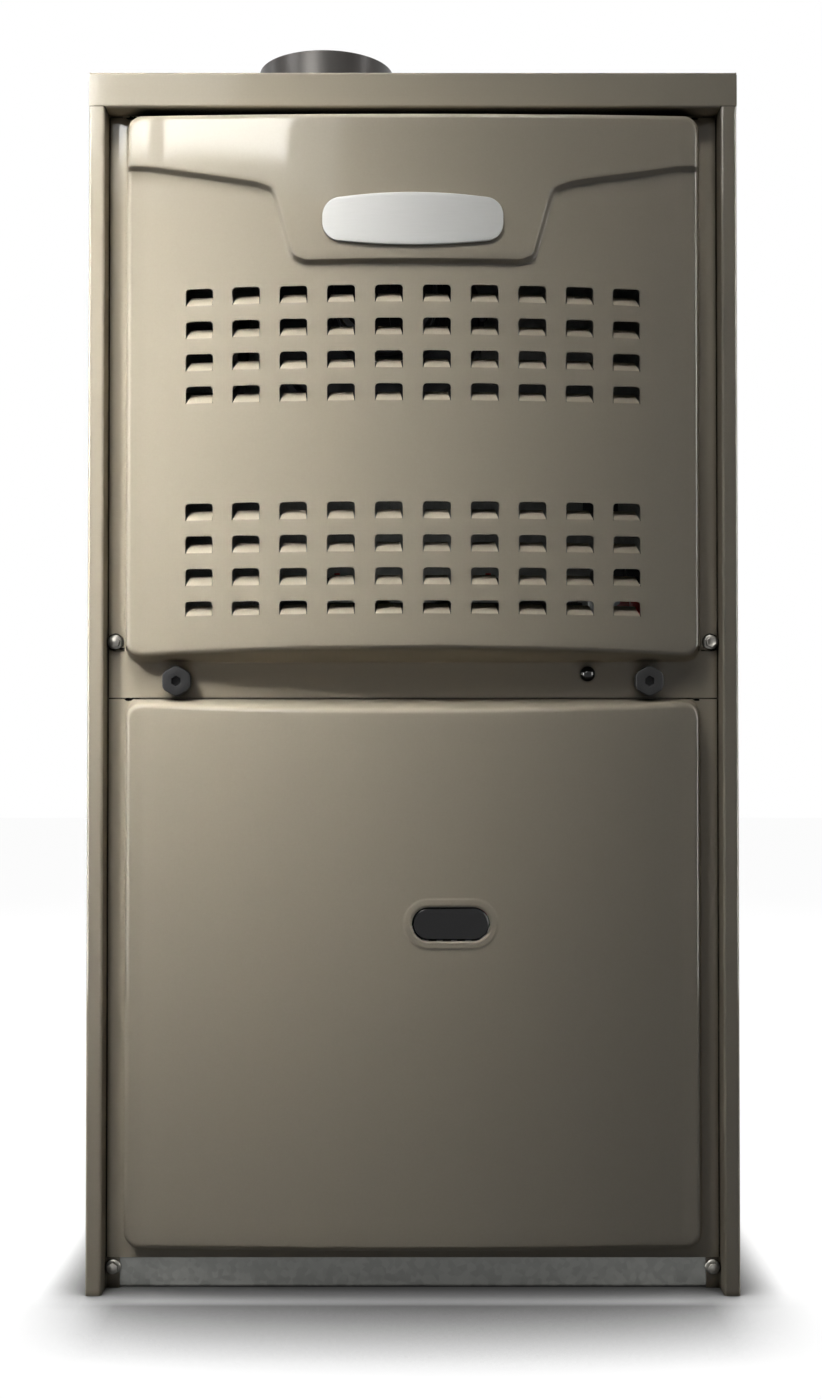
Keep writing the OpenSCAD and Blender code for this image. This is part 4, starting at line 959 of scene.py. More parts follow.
@dataclass
class UpperDoor(DrawnDoor):
    """The upper door, with the raised crest, the louvres and the notches for its screws."""

    node: str = "upper_door_panel"
    body: str = "upper_door"
    low: float = 407.3
    high: float = 812.2
    pan_low: float = 432.4
    pan_high: float = 812.0
    high_draft: float = 15.5
    end_ramp: float = 30.0
    crest_low: float = 701.5
    crest_rise: float = 3.5
    crest_soft: float = 1.9
    crest_r: float = 9.0
    crest_under: float = 690.0
    crest_over: float = 792.0
    crest_points: Outline = ((-10, 0), (73, 0), (82, 3.6), (95, 49.6), (108, 54.6), (187, 69.2), (199.7, 67.6),
                             (230, 64))
    steep: Flat = (68.0, 102.0)
    louvre_pitch: float = 32.4
    louvre_w: float = 19.0
    louvre_h: float = 11.8
    louvre_r: float = 2.5
    louvre_bottoms: tuple[float, ...] = (460.5, 482.8, 505.1, 527.4, 607.4, 629.7, 652.0, 674.3)
    tongue_lean: float = 45.0
    tongue_reach: float = 10.3
    tongue_narrow: float = 1.9
    tongue_bend: float = 1.0
    notch_x: float = 206.75
    notch_z: float = 445.8
    notch_r: float = 6.2

    def __post_init__(self) -> None:
        """Rounds the crest's lower edge."""
        super().__post_init__()
        self.crest_edge = rounded_path(self.crest_points, self.crest_r)

    def louvre_middles(self) -> list[float]:
        """Returns the x of each column of louvres."""
        return [(k - 4.5) * self.louvre_pitch for k in range(10)]

    # -- crest

    def crest_line(self, x: float) -> Flat:
        """Finds the crest's lower edge.

        Args:
            x: The place across the door.

        Returns:
            The edge's height over the floor, and its slope.
        """
        at = abs(x)
        for (x0, z0), (x1, z1) in zip(self.crest_edge, self.crest_edge[1:]):
            if at <= x1:
                slope = (z1 - z0) / (x1 - x0)
                return self.crest_low + z0 + slope * (at - x0), math.copysign(slope, x * slope) if x else 0.0
        return self.crest_low + self.crest_edge[-1][1], 0.0

    def crown(self, x: float, z: float) -> float:
        """Adds the crest to the face.

        Args:
            x: The place across the door.
            z: The place up from the floor.

        Returns:
            The face's height over the flange.
        """
        line, slope = self.crest_line(x)
        off = (z - line) / math.hypot(1, slope)
        return super().crown(x, z) + self.crest_rise * smoothstep(off / (2 * self.crest_soft) + 0.5)

    def row_height(self, row: Line, x: float) -> float:
        """Bends the level lines round the crest's edge.

        Args:
            row: The level line.
            x: Where it is crossed.

        Returns:
            Its height there.
        """
        z, flat = row.place, self.crest_low
        if not self.crest_under < z < self.crest_over:
            return z
        line, slope = self.crest_line(x)
        soft = self.crest_soft * math.hypot(1, slope)
        if abs(z - flat) <= self.crest_soft:
            return line + (z - flat) / self.crest_soft * soft
        if z < flat:
            share = (z - self.crest_under) / (flat - self.crest_soft - self.crest_under)
            return lerp(self.crest_under, line - soft, share)
        share = (z - flat - self.crest_soft) / (self.crest_over - flat - self.crest_soft)
        return lerp(line + soft, self.crest_over, share)

    # -- grid

    def corner_steps(self) -> list[Flat]:
        """Returns a louvre's corner steps as distances in from its corner."""
        turns = [math.radians(a) for a in (0, 30, 60, 90)]
        return [(self.louvre_r * (1 - math.sin(t)), self.louvre_r * (1 - math.cos(t))) for t in turns]

    def column_lines(self) -> list[float]:
        """Adds the louvres' upright lines and close lines at the crest's steep stretch.

        Returns:
            What sets the face's upright lines.
        """
        lines = super().column_lines()
        for middle in self.louvre_middles():
            for x, _ in self.corner_steps():
                lines += [middle - self.louvre_w / 2 + x, middle + self.louvre_w / 2 - x]
        steep = [x for x in spread(*self.steep, 1.3) if all(abs(x - y) > 0.6 for y in lines)]
        return lines + steep + [-x for x in steep]

    def row_lines(self) -> list[float]:
        """Adds the lines of the louvres, the notches and the crest.

        Returns:
            What sets the face's level lines.
        """
        lines = super().row_lines()
        for low in self.louvre_bottoms:
            lines += [low] + [low + self.louvre_h - z for _, z in self.corner_steps()]
        lines += [self.notch_z + self.notch_r * math.sin(math.radians(a)) for a in range(-90, 91, 15)]
        lines += [self.crest_under, self.crest_over]
        lines += [self.crest_low + self.crest_soft * k / 4 for k in range(-4, 5)]
        return lines

    def inner_rows(self) -> list[float]:
        """Keeps the notch's close lines apart and the lines round the crest even.

        Returns:
            The face's level lines.
        """
        inner = filled(self.row_lines(), self.step, 0.15)
        under = (self.crest_under, self.crest_low - self.crest_soft, 1.2)
        over = (self.crest_low + self.crest_soft, self.crest_over, 7)
        for start, end, most in (over, under):
            inner = [z for z in inner if not start < z < end] + spread(start, end, most)[1:-1]
        return sorted(inner)

    # -- openings

    def cut(self) -> None:
        """Cuts the louvres and the notches, and folds the tongues in."""
        self.cut_notches()
        near = 0.06
        columns = [math.inf if line.ring else line.place for line in self.columns]
        rows = [math.inf if line.ring else line.place for line in self.rows]

        def line_at(places: list[float], place: float) -> int:
            """Returns the number of the grid line at a place."""
            return next(i for i, at in enumerate(places) if abs(at - place) < near)

        feet: list[tuple[list[Vert], float]] = []
        for middle in self.louvre_middles():
            left, right = (line_at(columns, middle + side * self.louvre_w / 2) for side in (-1, 1))
            for low in self.louvre_bottoms:
                top = low + self.louvre_h

                def within(i: int, j: int) -> bool:
                    """Tells whether a crossing lies in the opening or on its outline."""
                    along = max(0.0, abs(columns[i] - middle) - (self.louvre_w / 2 - self.louvre_r))
                    over = max(0.0, rows[j] - (top - self.louvre_r))
                    return math.hypot(along, over) < self.louvre_r + near

                foot = line_at(rows, low)
                self.cut_cells(range(left, right), range(foot, line_at(rows, top)), within)
                feet.append((self.table[foot][left:right + 1], middle))
        for foot, middle in feet:
            self.fold_tongue(foot, middle)

    def fold_tongue(self, foot: list[Vert], middle: float) -> None:
        """Folds one tongue in from the lower edge of its opening.

        Args:
            foot: The opening's lower edge, from left to right.
            middle: The x of the louvre's middle.
        """
        half = self.louvre_w / 2
        foot = [vert for vert in foot if abs(vert.co.x - middle) < half - 0.2]
        edges = [self.mesh.edges.get(pair) for pair in zip(foot, foot[1:])]
        angle = math.asin(middle / self.crown_r)
        inward = Vector((-math.sin(angle), math.cos(angle), 0))
        across = Vector((math.cos(angle), math.sin(angle), 0))
        lean, steps = math.radians(self.tongue_lean), 3
        turns = [lean * k / steps for k in range(1, steps + 1)]
        profile = [Vector((1 - math.cos(turn), math.sin(turn))) * self.tongue_bend for turn in turns]
        straight = Vector((math.sin(lean), math.cos(lean))) * (self.tongue_reach - self.tongue_bend)
        profile += [profile[-1] + straight * share for share in (0.5, 1.0)]
        for step in (spot - before for before, spot in zip([Vector((0, 0)), *profile], profile)):
            moved = bmesh.ops.extrude_edge_only(self.mesh, edges=edges)["geom"]
            verts = verts_of(moved)
            edges = [edge for edge in edges_of(moved) if all(vert in verts for vert in edge.verts)]
            narrowing = self.tongue_narrow / half * step.length / self.tongue_reach
            centre = sum((vert.co for vert in verts), Vector()) / len(verts)
            for vert in verts:
                along = (vert.co - centre).dot(across)
                vert.co += inward * step.x + Vector((0, 0, step.y)) - across * along * narrowing

    def cut_notches(self) -> None:
        """Cuts the round notch for a screw into the flange at each side."""
        doomed: list[bmesh.types.BMFace] = []
        rim, reach = len(self.columns) - 1, self.notch_r + 0.01
        for edge, inner, sign in ((0, 1, -1), (rim, rim - 1, 1)):
            for j, row in enumerate(self.rows):
                if row.ring or abs(row.place - self.notch_z) > reach:
                    continue
                verts = self.table[j]
                height = (row.place - self.notch_z) / self.notch_r
                turn = math.asin(max(-1.0, min(1.0, height)))
                verts[inner].co = Vector((sign * (self.notch_x - self.notch_r * math.cos(turn)), self.flange_e,
                                          row.place))
                verts[edge].co.z = row.place
                if abs(height) > 0.999:
                    mouth = math.sqrt(self.notch_r ** 2 - (self.half_w - self.notch_x) ** 2)
                    verts[edge].co.z = self.notch_z + math.copysign(mouth, height)
                following = self.rows[j + 1]
                if not following.ring and following.place < self.notch_z + reach:
                    low, high = sorted((edge, inner))
                    doomed.extend(set(verts[low].link_faces) & set(self.table[j + 1][high].link_faces))
        bmesh.ops.delete(self.mesh, geom=doomed, context="FACES")


# ---------------------------------------------------------------- trim

@dataclass
class Badge(SubAssembly):
    """The bare badge plate, bowed like the crest that it lies on."""

    half_w: float = 61.15
    half_h: float = 17.75
    shoulder_h: float = 14.9
    corner_r: float = 12.5
    middle_z: float = 729.5
    back_r: float = 891.7
    axis_e: float = 869.0
    thick: float = 2.2
    rim_w: float = 1.2
    rim_soft: float = 0.35
    recess: float = 0.45
    columns: int = 56
    rows: int = 14

    def half_height(self, x: float) -> float:
        """Finds the plate's half height.

        Args:
            x: Distance from its middle.

        Returns:
            The half height there.
        """
        start = self.half_w - self.corner_r
        edge = self.half_h - (self.half_h - self.shoulder_h) * min(1.0, abs(x) / start) ** 2
        along = max(0.0, abs(x) - start) / self.corner_r
        return edge - self.corner_r * (1 - math.sqrt(max(0.0, 1 - along * along)))

    def build(self) -> None:
        """Builds the plate with its raised rim."""
        form = Form()
        mesh = form.mesh
        bmesh.ops.create_grid(mesh, x_segments=self.columns, y_segments=self.rows, size=1.0)
        for vert in mesh.verts:
            x = self.half_w * math.sin(vert.co.x * math.pi / 2)
            z = self.middle_z + self.half_height(x) * vert.co.y
            vert.co = Vector((x, self.axis_e - math.sqrt((self.back_r + self.thick) ** 2 - x * x), z))
        face_front(mesh)
        middle = mesh.faces[:]
        for width, depth in ((self.rim_w, 0.0), (self.recess, -self.recess)):
            bmesh.ops.inset_region(mesh, faces=middle, thickness=width, depth=depth, use_even_offset=True)
        rim = [edge for edge in mesh.edges if edge.is_boundary]
        moved = bmesh.ops.extrude_edge_only(mesh, edges=rim)["geom"]
        bmesh.ops.translate(mesh, vec=(0, self.thick, 0), verts=verts_of(moved))
        soften(mesh, rim, self.rim_soft, 3)
        self.shop.piece(form.done(), "badge_plate", "upper_door", "badge_metal", ("badge",), 50)


@dataclass
class SightWindow(SubAssembly):
    """The sight window's glass, with its polished bevel."""

    middle_x: float = 25.5
    middle_z: float = 254.5
    width: float = 51.8
    height: float = 21.8
    front_e: float = -17.9
    back_e: float = -14.4
    bevel: float = 2.0
    end_flat: float = 0.05

    def build(self) -> None:
        """Builds the glass."""
        half_w, half_h = self.width / 2, self.height / 2
        corners = [(self.middle_x + sx * half_w, self.middle_z + sz * half_h)
                   for sx, sz in ((-1, -1), (1, -1), (1, 1), (-1, 1))]
        form = Form().prism(corners, self.front_e, self.back_e, half_h - self.end_flat, segments=8)
        front = [edge for edge in form.mesh.edges if all(abs(v.co.y - self.front_e) < 1e-4 for v in edge.verts)]
        soften(form.mesh, front, self.bevel, 4, 0.6)
        self.shop.piece(form.done(), "sight_window_glass", "lower_door", "gloss_black", ("sight_glass",), 50)


@dataclass
class LatchKnob(SubAssembly):
    """A quarter turn knob: a rounded hexagon with a hexagonal socket, and its stud."""

    name: str
    node: str
    body: str
    middle_x: float
    middle_z: float = 418.6
    front_e: float = 4.6
    back_e: float = 16.6
    radius: float = 11.15
    corner: float = 2.7
    edge_soft: float = 0.9
    taper: float = 0.93
    socket_r: float = 3.65
    socket_depth: float = 5.0
    socket_soft: float = 0.25
    socket_taper: float = 0.94
    stud_r: float = 3.0
    stud_end: float = 30.0

    def build(self) -> None:
        """Builds the knob."""
        middle = (self.middle_x, self.middle_z)
        form = Form()
        mesh = form.mesh
        outer = [mesh.verts.new((x, self.front_e, z)) for x, z in around(6, self.radius, middle, 30)]
        bmesh.ops.contextual_create(mesh, geom=outer)
        face = soften(mesh, outer, self.corner, 6, affect="VERTICES")[0].link_faces[0]
        outer_loop = face.edges[:]
        bmesh.ops.delete(mesh, geom=[face], context="FACES_ONLY")
        inner = [mesh.verts.new((x, self.front_e, z)) for x, z in around(6, self.socket_r, middle, 30)]
        inner_loop = [mesh.edges.new(pair) for pair in zip(inner, inner[1:] + inner[:1])]
        bmesh.ops.bridge_loops(mesh, edges=outer_loop + inner_loop)
        for loop, depth, taper in ((outer_loop, self.back_e - self.front_e, self.taper),
                                   (inner_loop, self.socket_depth, self.socket_taper)):
            verts = verts_of(bmesh.ops.extrude_edge_only(mesh, edges=loop)["geom"])
            for vert in verts:
                vert.co.x = lerp(self.middle_x, vert.co.x, taper)
                vert.co.y += depth
                vert.co.z = lerp(self.middle_z, vert.co.z, taper)
            ends = [edge for edge in {edge for vert in verts for edge in vert.link_edges} if edge.is_boundary]
            bmesh.ops.contextual_create(mesh, geom=ends)
        soften(mesh, outer_loop, self.edge_soft, 3)
        soften(mesh, inner_loop, self.socket_soft, 2)
        form.bar((self.middle_x, self.back_e - 0.1, self.middle_z), (self.middle_x, self.stud_end, self.middle_z),
                 self.stud_r)
        self.shop.piece(form.done(), self.name, self.body, "black_plastic", (self.node,), 40)


@dataclass
class PlugButton(SubAssembly):
    """The glossy domed plug in the upper door's lower flange."""

    middle_x: float = 121.0
    middle_z: float = 423.7
    face_e: float = 16.8
    rim_r: float = 5.2
    rim_soft: float = 0.3
    dome_r: float = 5.45
    dome_up: float = 2.6
    dome_steps: int = 10
    shank_r: float = 2.5
    shank_end: float = 22.0

    def build(self) -> None:
        """Builds the plug."""
        low, end = math.acos(self.rim_r / self.dome_r), self.face_e - self.shank_end
        turns = [lerp(math.pi / 2, low, k / self.dome_steps) for k in range(self.dome_steps + 1)]
        dome = [(self.dome_r * math.cos(turn), self.dome_up + self.dome_r * math.sin(turn)) for turn in turns]
        profile = [*dome, (self.rim_r, self.rim_soft), (self.rim_r - self.rim_soft, 0), (self.shank_r, 0),
                   (self.shank_r, end), (0, end)]
        form = Form().lathe(profile, (self.middle_x, self.face_e, self.middle_z), FORWARDS)
        self.shop.piece(form.done(), "flange_plug", "upper_door", "gloss_black", ("plug_button",), 50)


@dataclass
class CabinetScrews(SubAssembly):
    """The four hex washer head screws in the side ledges.

    Attributes:
        places, turns: Each screw's middle and how far its head is turned, in degrees.
        seat_e: Depth of the ledge that they sit on.
        washer: Radius and height of the washer's profile.
        head_r, head_foot, head_h, head_soft: The head's radius, foot, height and softened edge.
        dish_rim, dish_w, dish: The head's flat rim, and the dish's wall and depth.
    """

    places: Outline = ((-206.75, 445.8), (206.75, 445.8), (-206.75, 14.5), (206.75, 14.5))
    turns: tuple[float, ...] = (12.0, 41.0, 27.0, 3.0)
    seat_e: float = 18.0
    washer: Outline = ((0, 0), (4.2, 0), (4.9, 0.5), (5.1, 0.9), (4.8, 1.25), (3.8, 1.6), (0, 1.6))
    head_r: float = 4.0
    head_foot: float = 1.4
    head_h: float = 5.4
    head_soft: float = 0.45
    dish_rim: float = 0.8
    dish_w: float = 0.7
    dish: float = 0.5

    def build(self) -> None:
        """Builds all four screws as one piece."""
        form = Form()
        front_e = self.seat_e - self.head_h
        for (x, z), turn in zip(self.places, self.turns):
            form.lathe(self.washer, (x, self.seat_e, z), FORWARDS, 40)
            before = set(form.mesh.faces)
            form.prism(around(6, self.head_r, (x, z), turn), front_e, self.seat_e - self.head_foot)
            front = [face for face in form.mesh.faces if face not in before
                     and all(abs(vert.co.y - front_e) < 1e-4 for vert in face.verts)]
            rim = [edge for face in front for edge in face.edges]
            bmesh.ops.inset_region(form.mesh, faces=front, thickness=self.dish_rim, depth=0.0)
            bmesh.ops.inset_region(form.mesh, faces=front, thickness=self.dish_w, depth=-self.dish)
            soften(form.mesh, rim, self.head_soft, 3)
        self.shop.piece(form.done(), "hex_washer_screws", "cabinet", "zinc", ("cabinet_screws",), 40)


@dataclass
class VentCollar(SubAssembly):
    """The vent collar, with its rolled rim and the flange on the top cap."""

    axis_x: float = -66.0
    axis_e: float = 132.0
    bore: float = 49.8
    outer: float = 50.8
    flange_r: float = 61.8
    flange_soft: float = 0.3
    fillet_r: float = 1.6
    skirt_low: float = 785.0
    deck_z: float = 838.0
    top_z: float = 886.0

    def build(self) -> None:
        """Turns the collar."""
        wall, soft, deck = self.outer - self.bore, self.flange_soft, self.deck_z
        turns = [math.radians(a) for a in (90, 60, 30, 0)]
        fillet = [(self.outer + self.fillet_r * (1 - math.cos(t)), deck + wall + self.fillet_r * (1 - math.sin(t)))
                  for t in turns]
        rim = [polar(wall / 2, a, (self.outer - wall / 2, self.top_z - wall / 2)) for a in range(0, 181, 30)]
        profile = [(self.bore - wall, self.skirt_low), (self.bore, self.skirt_low), (self.bore, deck),
                   (self.flange_r - soft, deck), (self.flange_r, deck + soft), (self.flange_r, deck + wall - soft),
                   (self.flange_r - soft, deck + wall), *fillet, *rim, (self.bore, deck + wall),
                   (self.bore - wall, deck + wall), (self.bore - wall, self.skirt_low)]
        form = Form().lathe(profile, (self.axis_x, self.axis_e, 0), UPWARDS, 128)
        self.shop.piece(form.done(), "vent_collar_turned", "cabinet", "vent_black", ("vent_collar",), 30)


# ---------------------------------------------------------------- gas train

@dataclass
class GasTrain(SubAssembly):
    """The four burners, the manifold, and the gas valve with its knob.

    Each outline is a turned profile: its radius, and its distance along the axis from where it starts.
    """

    pitch: float = 60.0
    axis_z: float = 466.8
    mouth_e: float = 98.2
    burner_wall: Outline = ((19.4, 2.6), (20.0, 1.2), (19.3, 0.2), (18.2, 0.8), (15.8, 9), (12.6, 19), (12.5, 31),
                            (15, 48), (15, 89.2))
    burner_seat: Outline = ((15.2, 76.4), (19.6, 76.4))
    burner_bead: Outline = ((15.6, 54), (16.4, 55), (15.6, 56))
    burner_sheet: float = 1.2
    pipe_e: float = 72.0
    pipe_r: float = 10.65
    pipe_left: float = -108.0
    pipe_cap: Outline = ((0, 0), (9, 0), (12.4, 1.6), (13.1, 3.2), (13.1, 20), (12.2, 21), (10.65, 21))
    cap_over: float = 8.8
    threads: int = 7
    thread_pitch: float = 1.8
    thread: Outline = ((10.55, -0.8), (11.15, 0), (10.55, 0.8))
    boss_r: float = 8.0
    boss_end: float = 87.6
    strap_out: float = 26.0
    strap_end: float = 174.8
    valve_left: float = 123.0
    valve_right: float = 189.0
    valve_front: float = 42.0
    valve_rear: float = 104.0
    valve_half_h: float = 22.0
    screw: Outline = ((0, 0), (2.6, 0), (3.1, -0.6), (3.1, -1.8), (2.4, -2.4), (0, -2.4))
    regulator: Outline = ((0, 0), (11, 0), (11, 10), (9.6, 11.2), (6.4, 11.2), (6, 12.4), (6, 14), (5.2, 14),
                          (5.2, 13), (0, 13))
    inlet: Outline = ((9.2, 8.2), (10, 9), (14.6, 9), (15.8, 8), (15.8, 0))
    inlet_bore: Outline = ((10, 8.95), (9.2, 8.2), (9.2, 0.3), (0, 0.3))
    knob: Outline = ((0, 35.8), (11.4, 35.8), (12.2, 36.4), (12.6, 37.4), (12.6, 41.5), (3, 41.5), (3, 50.6),
                     (0, 50.6))
    knob_r: float = 12.5
    flutes: int = 24

    def __post_init__(self) -> None:
        """Works out the valve's middle."""
        self.valve_x = (self.valve_left + self.valve_right) / 2
        self.burner_x = [(k - 1.5) * self.pitch for k in range(4)]

    def build(self) -> None:
        """Builds every piece of the gas train."""
        for number, x in enumerate(self.burner_x, 1):
            self.burner(number, x)
        self.manifold()
        self.valve_body()
        self.valve_cover()
        self.valve_knob()

    def burner(self, number: int, x: float) -> None:
        """Spins one inshot burner: a rolled bell mouth, a throat, a mixing tube and its seat.

        Args:
            number: Its number from the left.
            x: The x of its axis.
        """
        form = Form()
        for profile in (rounded_path(self.burner_wall, 0.9, 4), self.burner_seat, self.burner_bead):
            form.lathe(profile, (x, self.mouth_e, self.axis_z), INWARDS, 56)
        self.shop.piece(form.done(), f"burner_{number}_spun", "cabinet", "aluminised", (f"burner_{number}",), 50,
                        self.burner_sheet)

    def manifold(self) -> None:
        """Builds the threaded pipe with its cap, its bosses and its two straps."""
        e, z = self.pipe_e, self.axis_z
        form = Form().bar((self.pipe_left, e, z), (self.valve_left, e, z), self.pipe_r)
        form.lathe(self.pipe_cap, (self.pipe_left - self.cap_over, e, z), ACROSS, 8)
        for k in range(self.threads):
            form.lathe(self.thread, (self.valve_left - 4 - self.thread_pitch * k, e, z), ACROSS, 40)
        for x in self.burner_x:
            form.bar((x, e, z), (x, self.boss_end, z), self.boss_r, 1.2)
        for x in (self.burner_x[0] - self.strap_out, self.burner_x[-1] + self.strap_out):
            form.block((x - 1.4, e - 9, z - 7), (x + 1.4, self.strap_end, z + 7), 0.4)
        self.shop.piece(form.done(), "manifold_pipe", "cabinet", "gas_pipe", ("gas_manifold",), 40)

    def valve_body(self) -> None:
        """Builds the valve's cast body with its face plate, its screws, its regulator and its inlet."""
        x, z, left, right = self.valve_x, self.axis_z, self.valve_left, self.valve_right
        half_h, front = self.valve_half_h, self.valve_front
        form = Form().block((left, front, z - half_h), (right, self.valve_rear, z + half_h), 3.5, 4)
        form.block((left + 3, front - 1.2, z - half_h + 3), (right - 3, front + 1, z + half_h - 3), 0.8)
        for sx in (-1, 1):
            for sz in (-1, 1):
                form.lathe(self.screw, (x + sx * 26.5, front - 1.2, z + sz * 15.5), INWARDS, 24)
        form.lathe(self.regulator, (x - 16, 73, z + 35), UPWARDS, 40)
        form.lathe(self.inlet, (right, self.pipe_e, z), ACROSS, 6)
        form.lathe(self.inlet_bore, (right, self.pipe_e, z), ACROSS, 40)
        self.shop.piece(form.done(), "valve_body", "cabinet", "valve_metal", ("gas_valve",), 35)

    def valve_cover(self) -> None:
        """Builds the valve's solenoid cover with its plug and its ribs."""
        x, z, front = self.valve_x, self.axis_z, self.valve_front
        cover = Form().block((self.valve_left + 8, front + 6, z + 21.6),
                             (self.valve_right - 8, self.valve_rear - 6, z + 35.6), 2, 3)
        cover.bar((x, front - 5.8, z + 30), (x, front + 20, z + 30), 5.4, 0.8)
        for rib in (x + 6, x + 13, x + 20):
            cover.block((rib, front + 1, z + 25), (rib + 0.8, front + 7, z + 31), 0.15)
        self.shop.piece(cover.done(), "valve_solenoid_cover", "cabinet", "black_plastic", (), 35)

    def valve_knob(self) -> None:
        """Builds the red knob: a fluted disc with a grip bar."""
        x, z = self.valve_x, self.axis_z
        form = Form().lathe(self.knob, (x, 0, z), INWARDS, 48)
        form.block((x - 3.3, 28.2, z - 11.8), (x + 3.3, 36.4, z + 11.8), 1.8, 4)
        for flute_x, flute_z in around(self.flutes, self.knob_r, (x, z)):
            form.bar((flute_x, 37.2, flute_z), (flute_x, 41.4, flute_z), 0.5, 0.2, 8)
        self.shop.piece(form.done(), "valve_knob_moulded", "gas_knob", "red_plastic", ("gas_valve_knob",), 40)


# ---------------------------------------------------------------- inducer

@dataclass
class Inducer(SubAssembly):
    """The draft inducer: its scroll housing and its motor.

    Each outline is a turned profile: its radius, and its depth or its height over the floor.
    """

    axis_x: float = -19.8
    axis_z: float = 700.0
    front_e: float = 104.0
    rear_e: float = 160.0
    start_r: float = 58.0
    end_r: float = 94.0
    duct_w: float = 95.6
    duct_h: float = 76.0
    scroll_steps: int = 54
    scroll_step: float = 5.0
    seam: Flat = (130.4, 133.6)
    seam_w: float = 4.0
    seam_screw: Outline = ((0, -3.4), (1.6, -3.4), (3.2, -2.2), (3.6, 0), (4.4, 0), (4.4, 3.2))
    face_ring: Outline = ((40, 104.4), (41, 102.2), (45, 102.2), (46, 104.4))
    spigot_x: float = -66.0
    spigot_e: float = 132.0
    spigot: Outline = ((47, 779), (47, 802), (47.4, 802), (48.5, 801.2), (48.5, 779.4), (53, 779), (53.4, 778.4),
                       (53.4, 776.2))
    front_bell: Outline = ((4.4, 48.2), (11, 48.2), (12, 49.2), (12, 50.6), (22, 51.2), (32, 52.4), (36.6, 55),
                           (38, 58), (38, 66), (37, 66.6), (4.4, 66.6), (4.4, 48.2))
    rear_bell: Outline = ((4.4, 81), (37, 81), (38, 81.6), (38, 92), (35.5, 96), (4.4, 96), (4.4, 81))
    sheet: Outline = ((5, 66.7), (36.4, 66.7), (36.7, 67.0), (36.7, 67.9), (36.4, 68.2), (5, 68.2))
    sheets: int = 9
    sheet_pitch: float = 1.6

    def scroll_point(self, step: int, out: float) -> Flat:
        """Returns a point of the scroll, moved outwards by a distance."""
        radius = lerp(self.start_r, self.end_r, step / self.scroll_steps) + out
        return polar(radius, 90 - self.scroll_step * step, (self.axis_x, self.axis_z))

    def outline(self, out: float = 0.0) -> list[Flat]:
        """Returns the scroll's outline with its duct, moved outwards by a distance."""
        top, left = self.axis_z + self.duct_h, self.axis_x - self.end_r
        return [*(self.scroll_point(k, out) for k in range(self.scroll_steps + 1)),
                (left - out, top), (left + self.duct_w + out, top)]

    def build(self) -> None:
        """Builds the housing and the motor."""
        self.housing()
        self.motor()

    def housing(self) -> None:
        """Builds the moulded scroll with its seam flange, its screws and its spigot."""
        form = Form().prism(self.outline(), self.front_e, self.rear_e, 0.0, 3.0, 3)
        form.prism(self.outline(self.seam_w), *self.seam, 0.0, 0.5, 2)
        for k in range(2, self.scroll_steps, 8):
            x, z = self.scroll_point(k, 2.6)
            form.lathe(self.seam_screw, (x, self.seam[0], z), INWARDS, 20)
        form.lathe(self.face_ring, (self.axis_x, 0, self.axis_z), INWARDS, 64)
        form.bar((self.axis_x, self.rear_e - 0.2, self.axis_z), (self.axis_x, self.rear_e + 0.9, self.axis_z), 34,
                 0.2, 64)
        form.lathe(self.spigot, (self.spigot_x, self.spigot_e, 0), UPWARDS, 96)
        self.shop.piece(form.done(), "inducer_scroll", "cabinet", "dark_motor", ("inducer_housing",), 35)

    def motor(self) -> None:
        """Builds the motor's two end bells, the laminations between them and its legs."""
        middle = (self.axis_x, self.axis_z)
        form, stack = Form(), Form()
        for bell in (self.front_bell, self.rear_bell):
            form.lathe(bell, (self.axis_x, 0, self.axis_z), INWARDS, 64)
        for x, z in around(12, 27, middle):
            form.bar((x, 50.4, z), (x, 52.6, z), 2.6, 0.5, 16)
        for x, z in around(3, 32, middle, -30):
            form.bar((x, 95, z), (x, 103.9, z), 5, 0.5, 24)
        self.shop.piece(form.done(), "inducer_motor_bells", "cabinet", "dark_motor", ("inducer_motor",), 35)
        for k in range(self.sheets):
            stack.lathe(self.sheet, (self.axis_x, self.sheet_pitch * k, self.axis_z), INWARDS, 64)
        self.shop.piece(stack.done(), "inducer_motor_stack", "cabinet", "lamination", (), 35)


# ---------------------------------------------------------------- controls

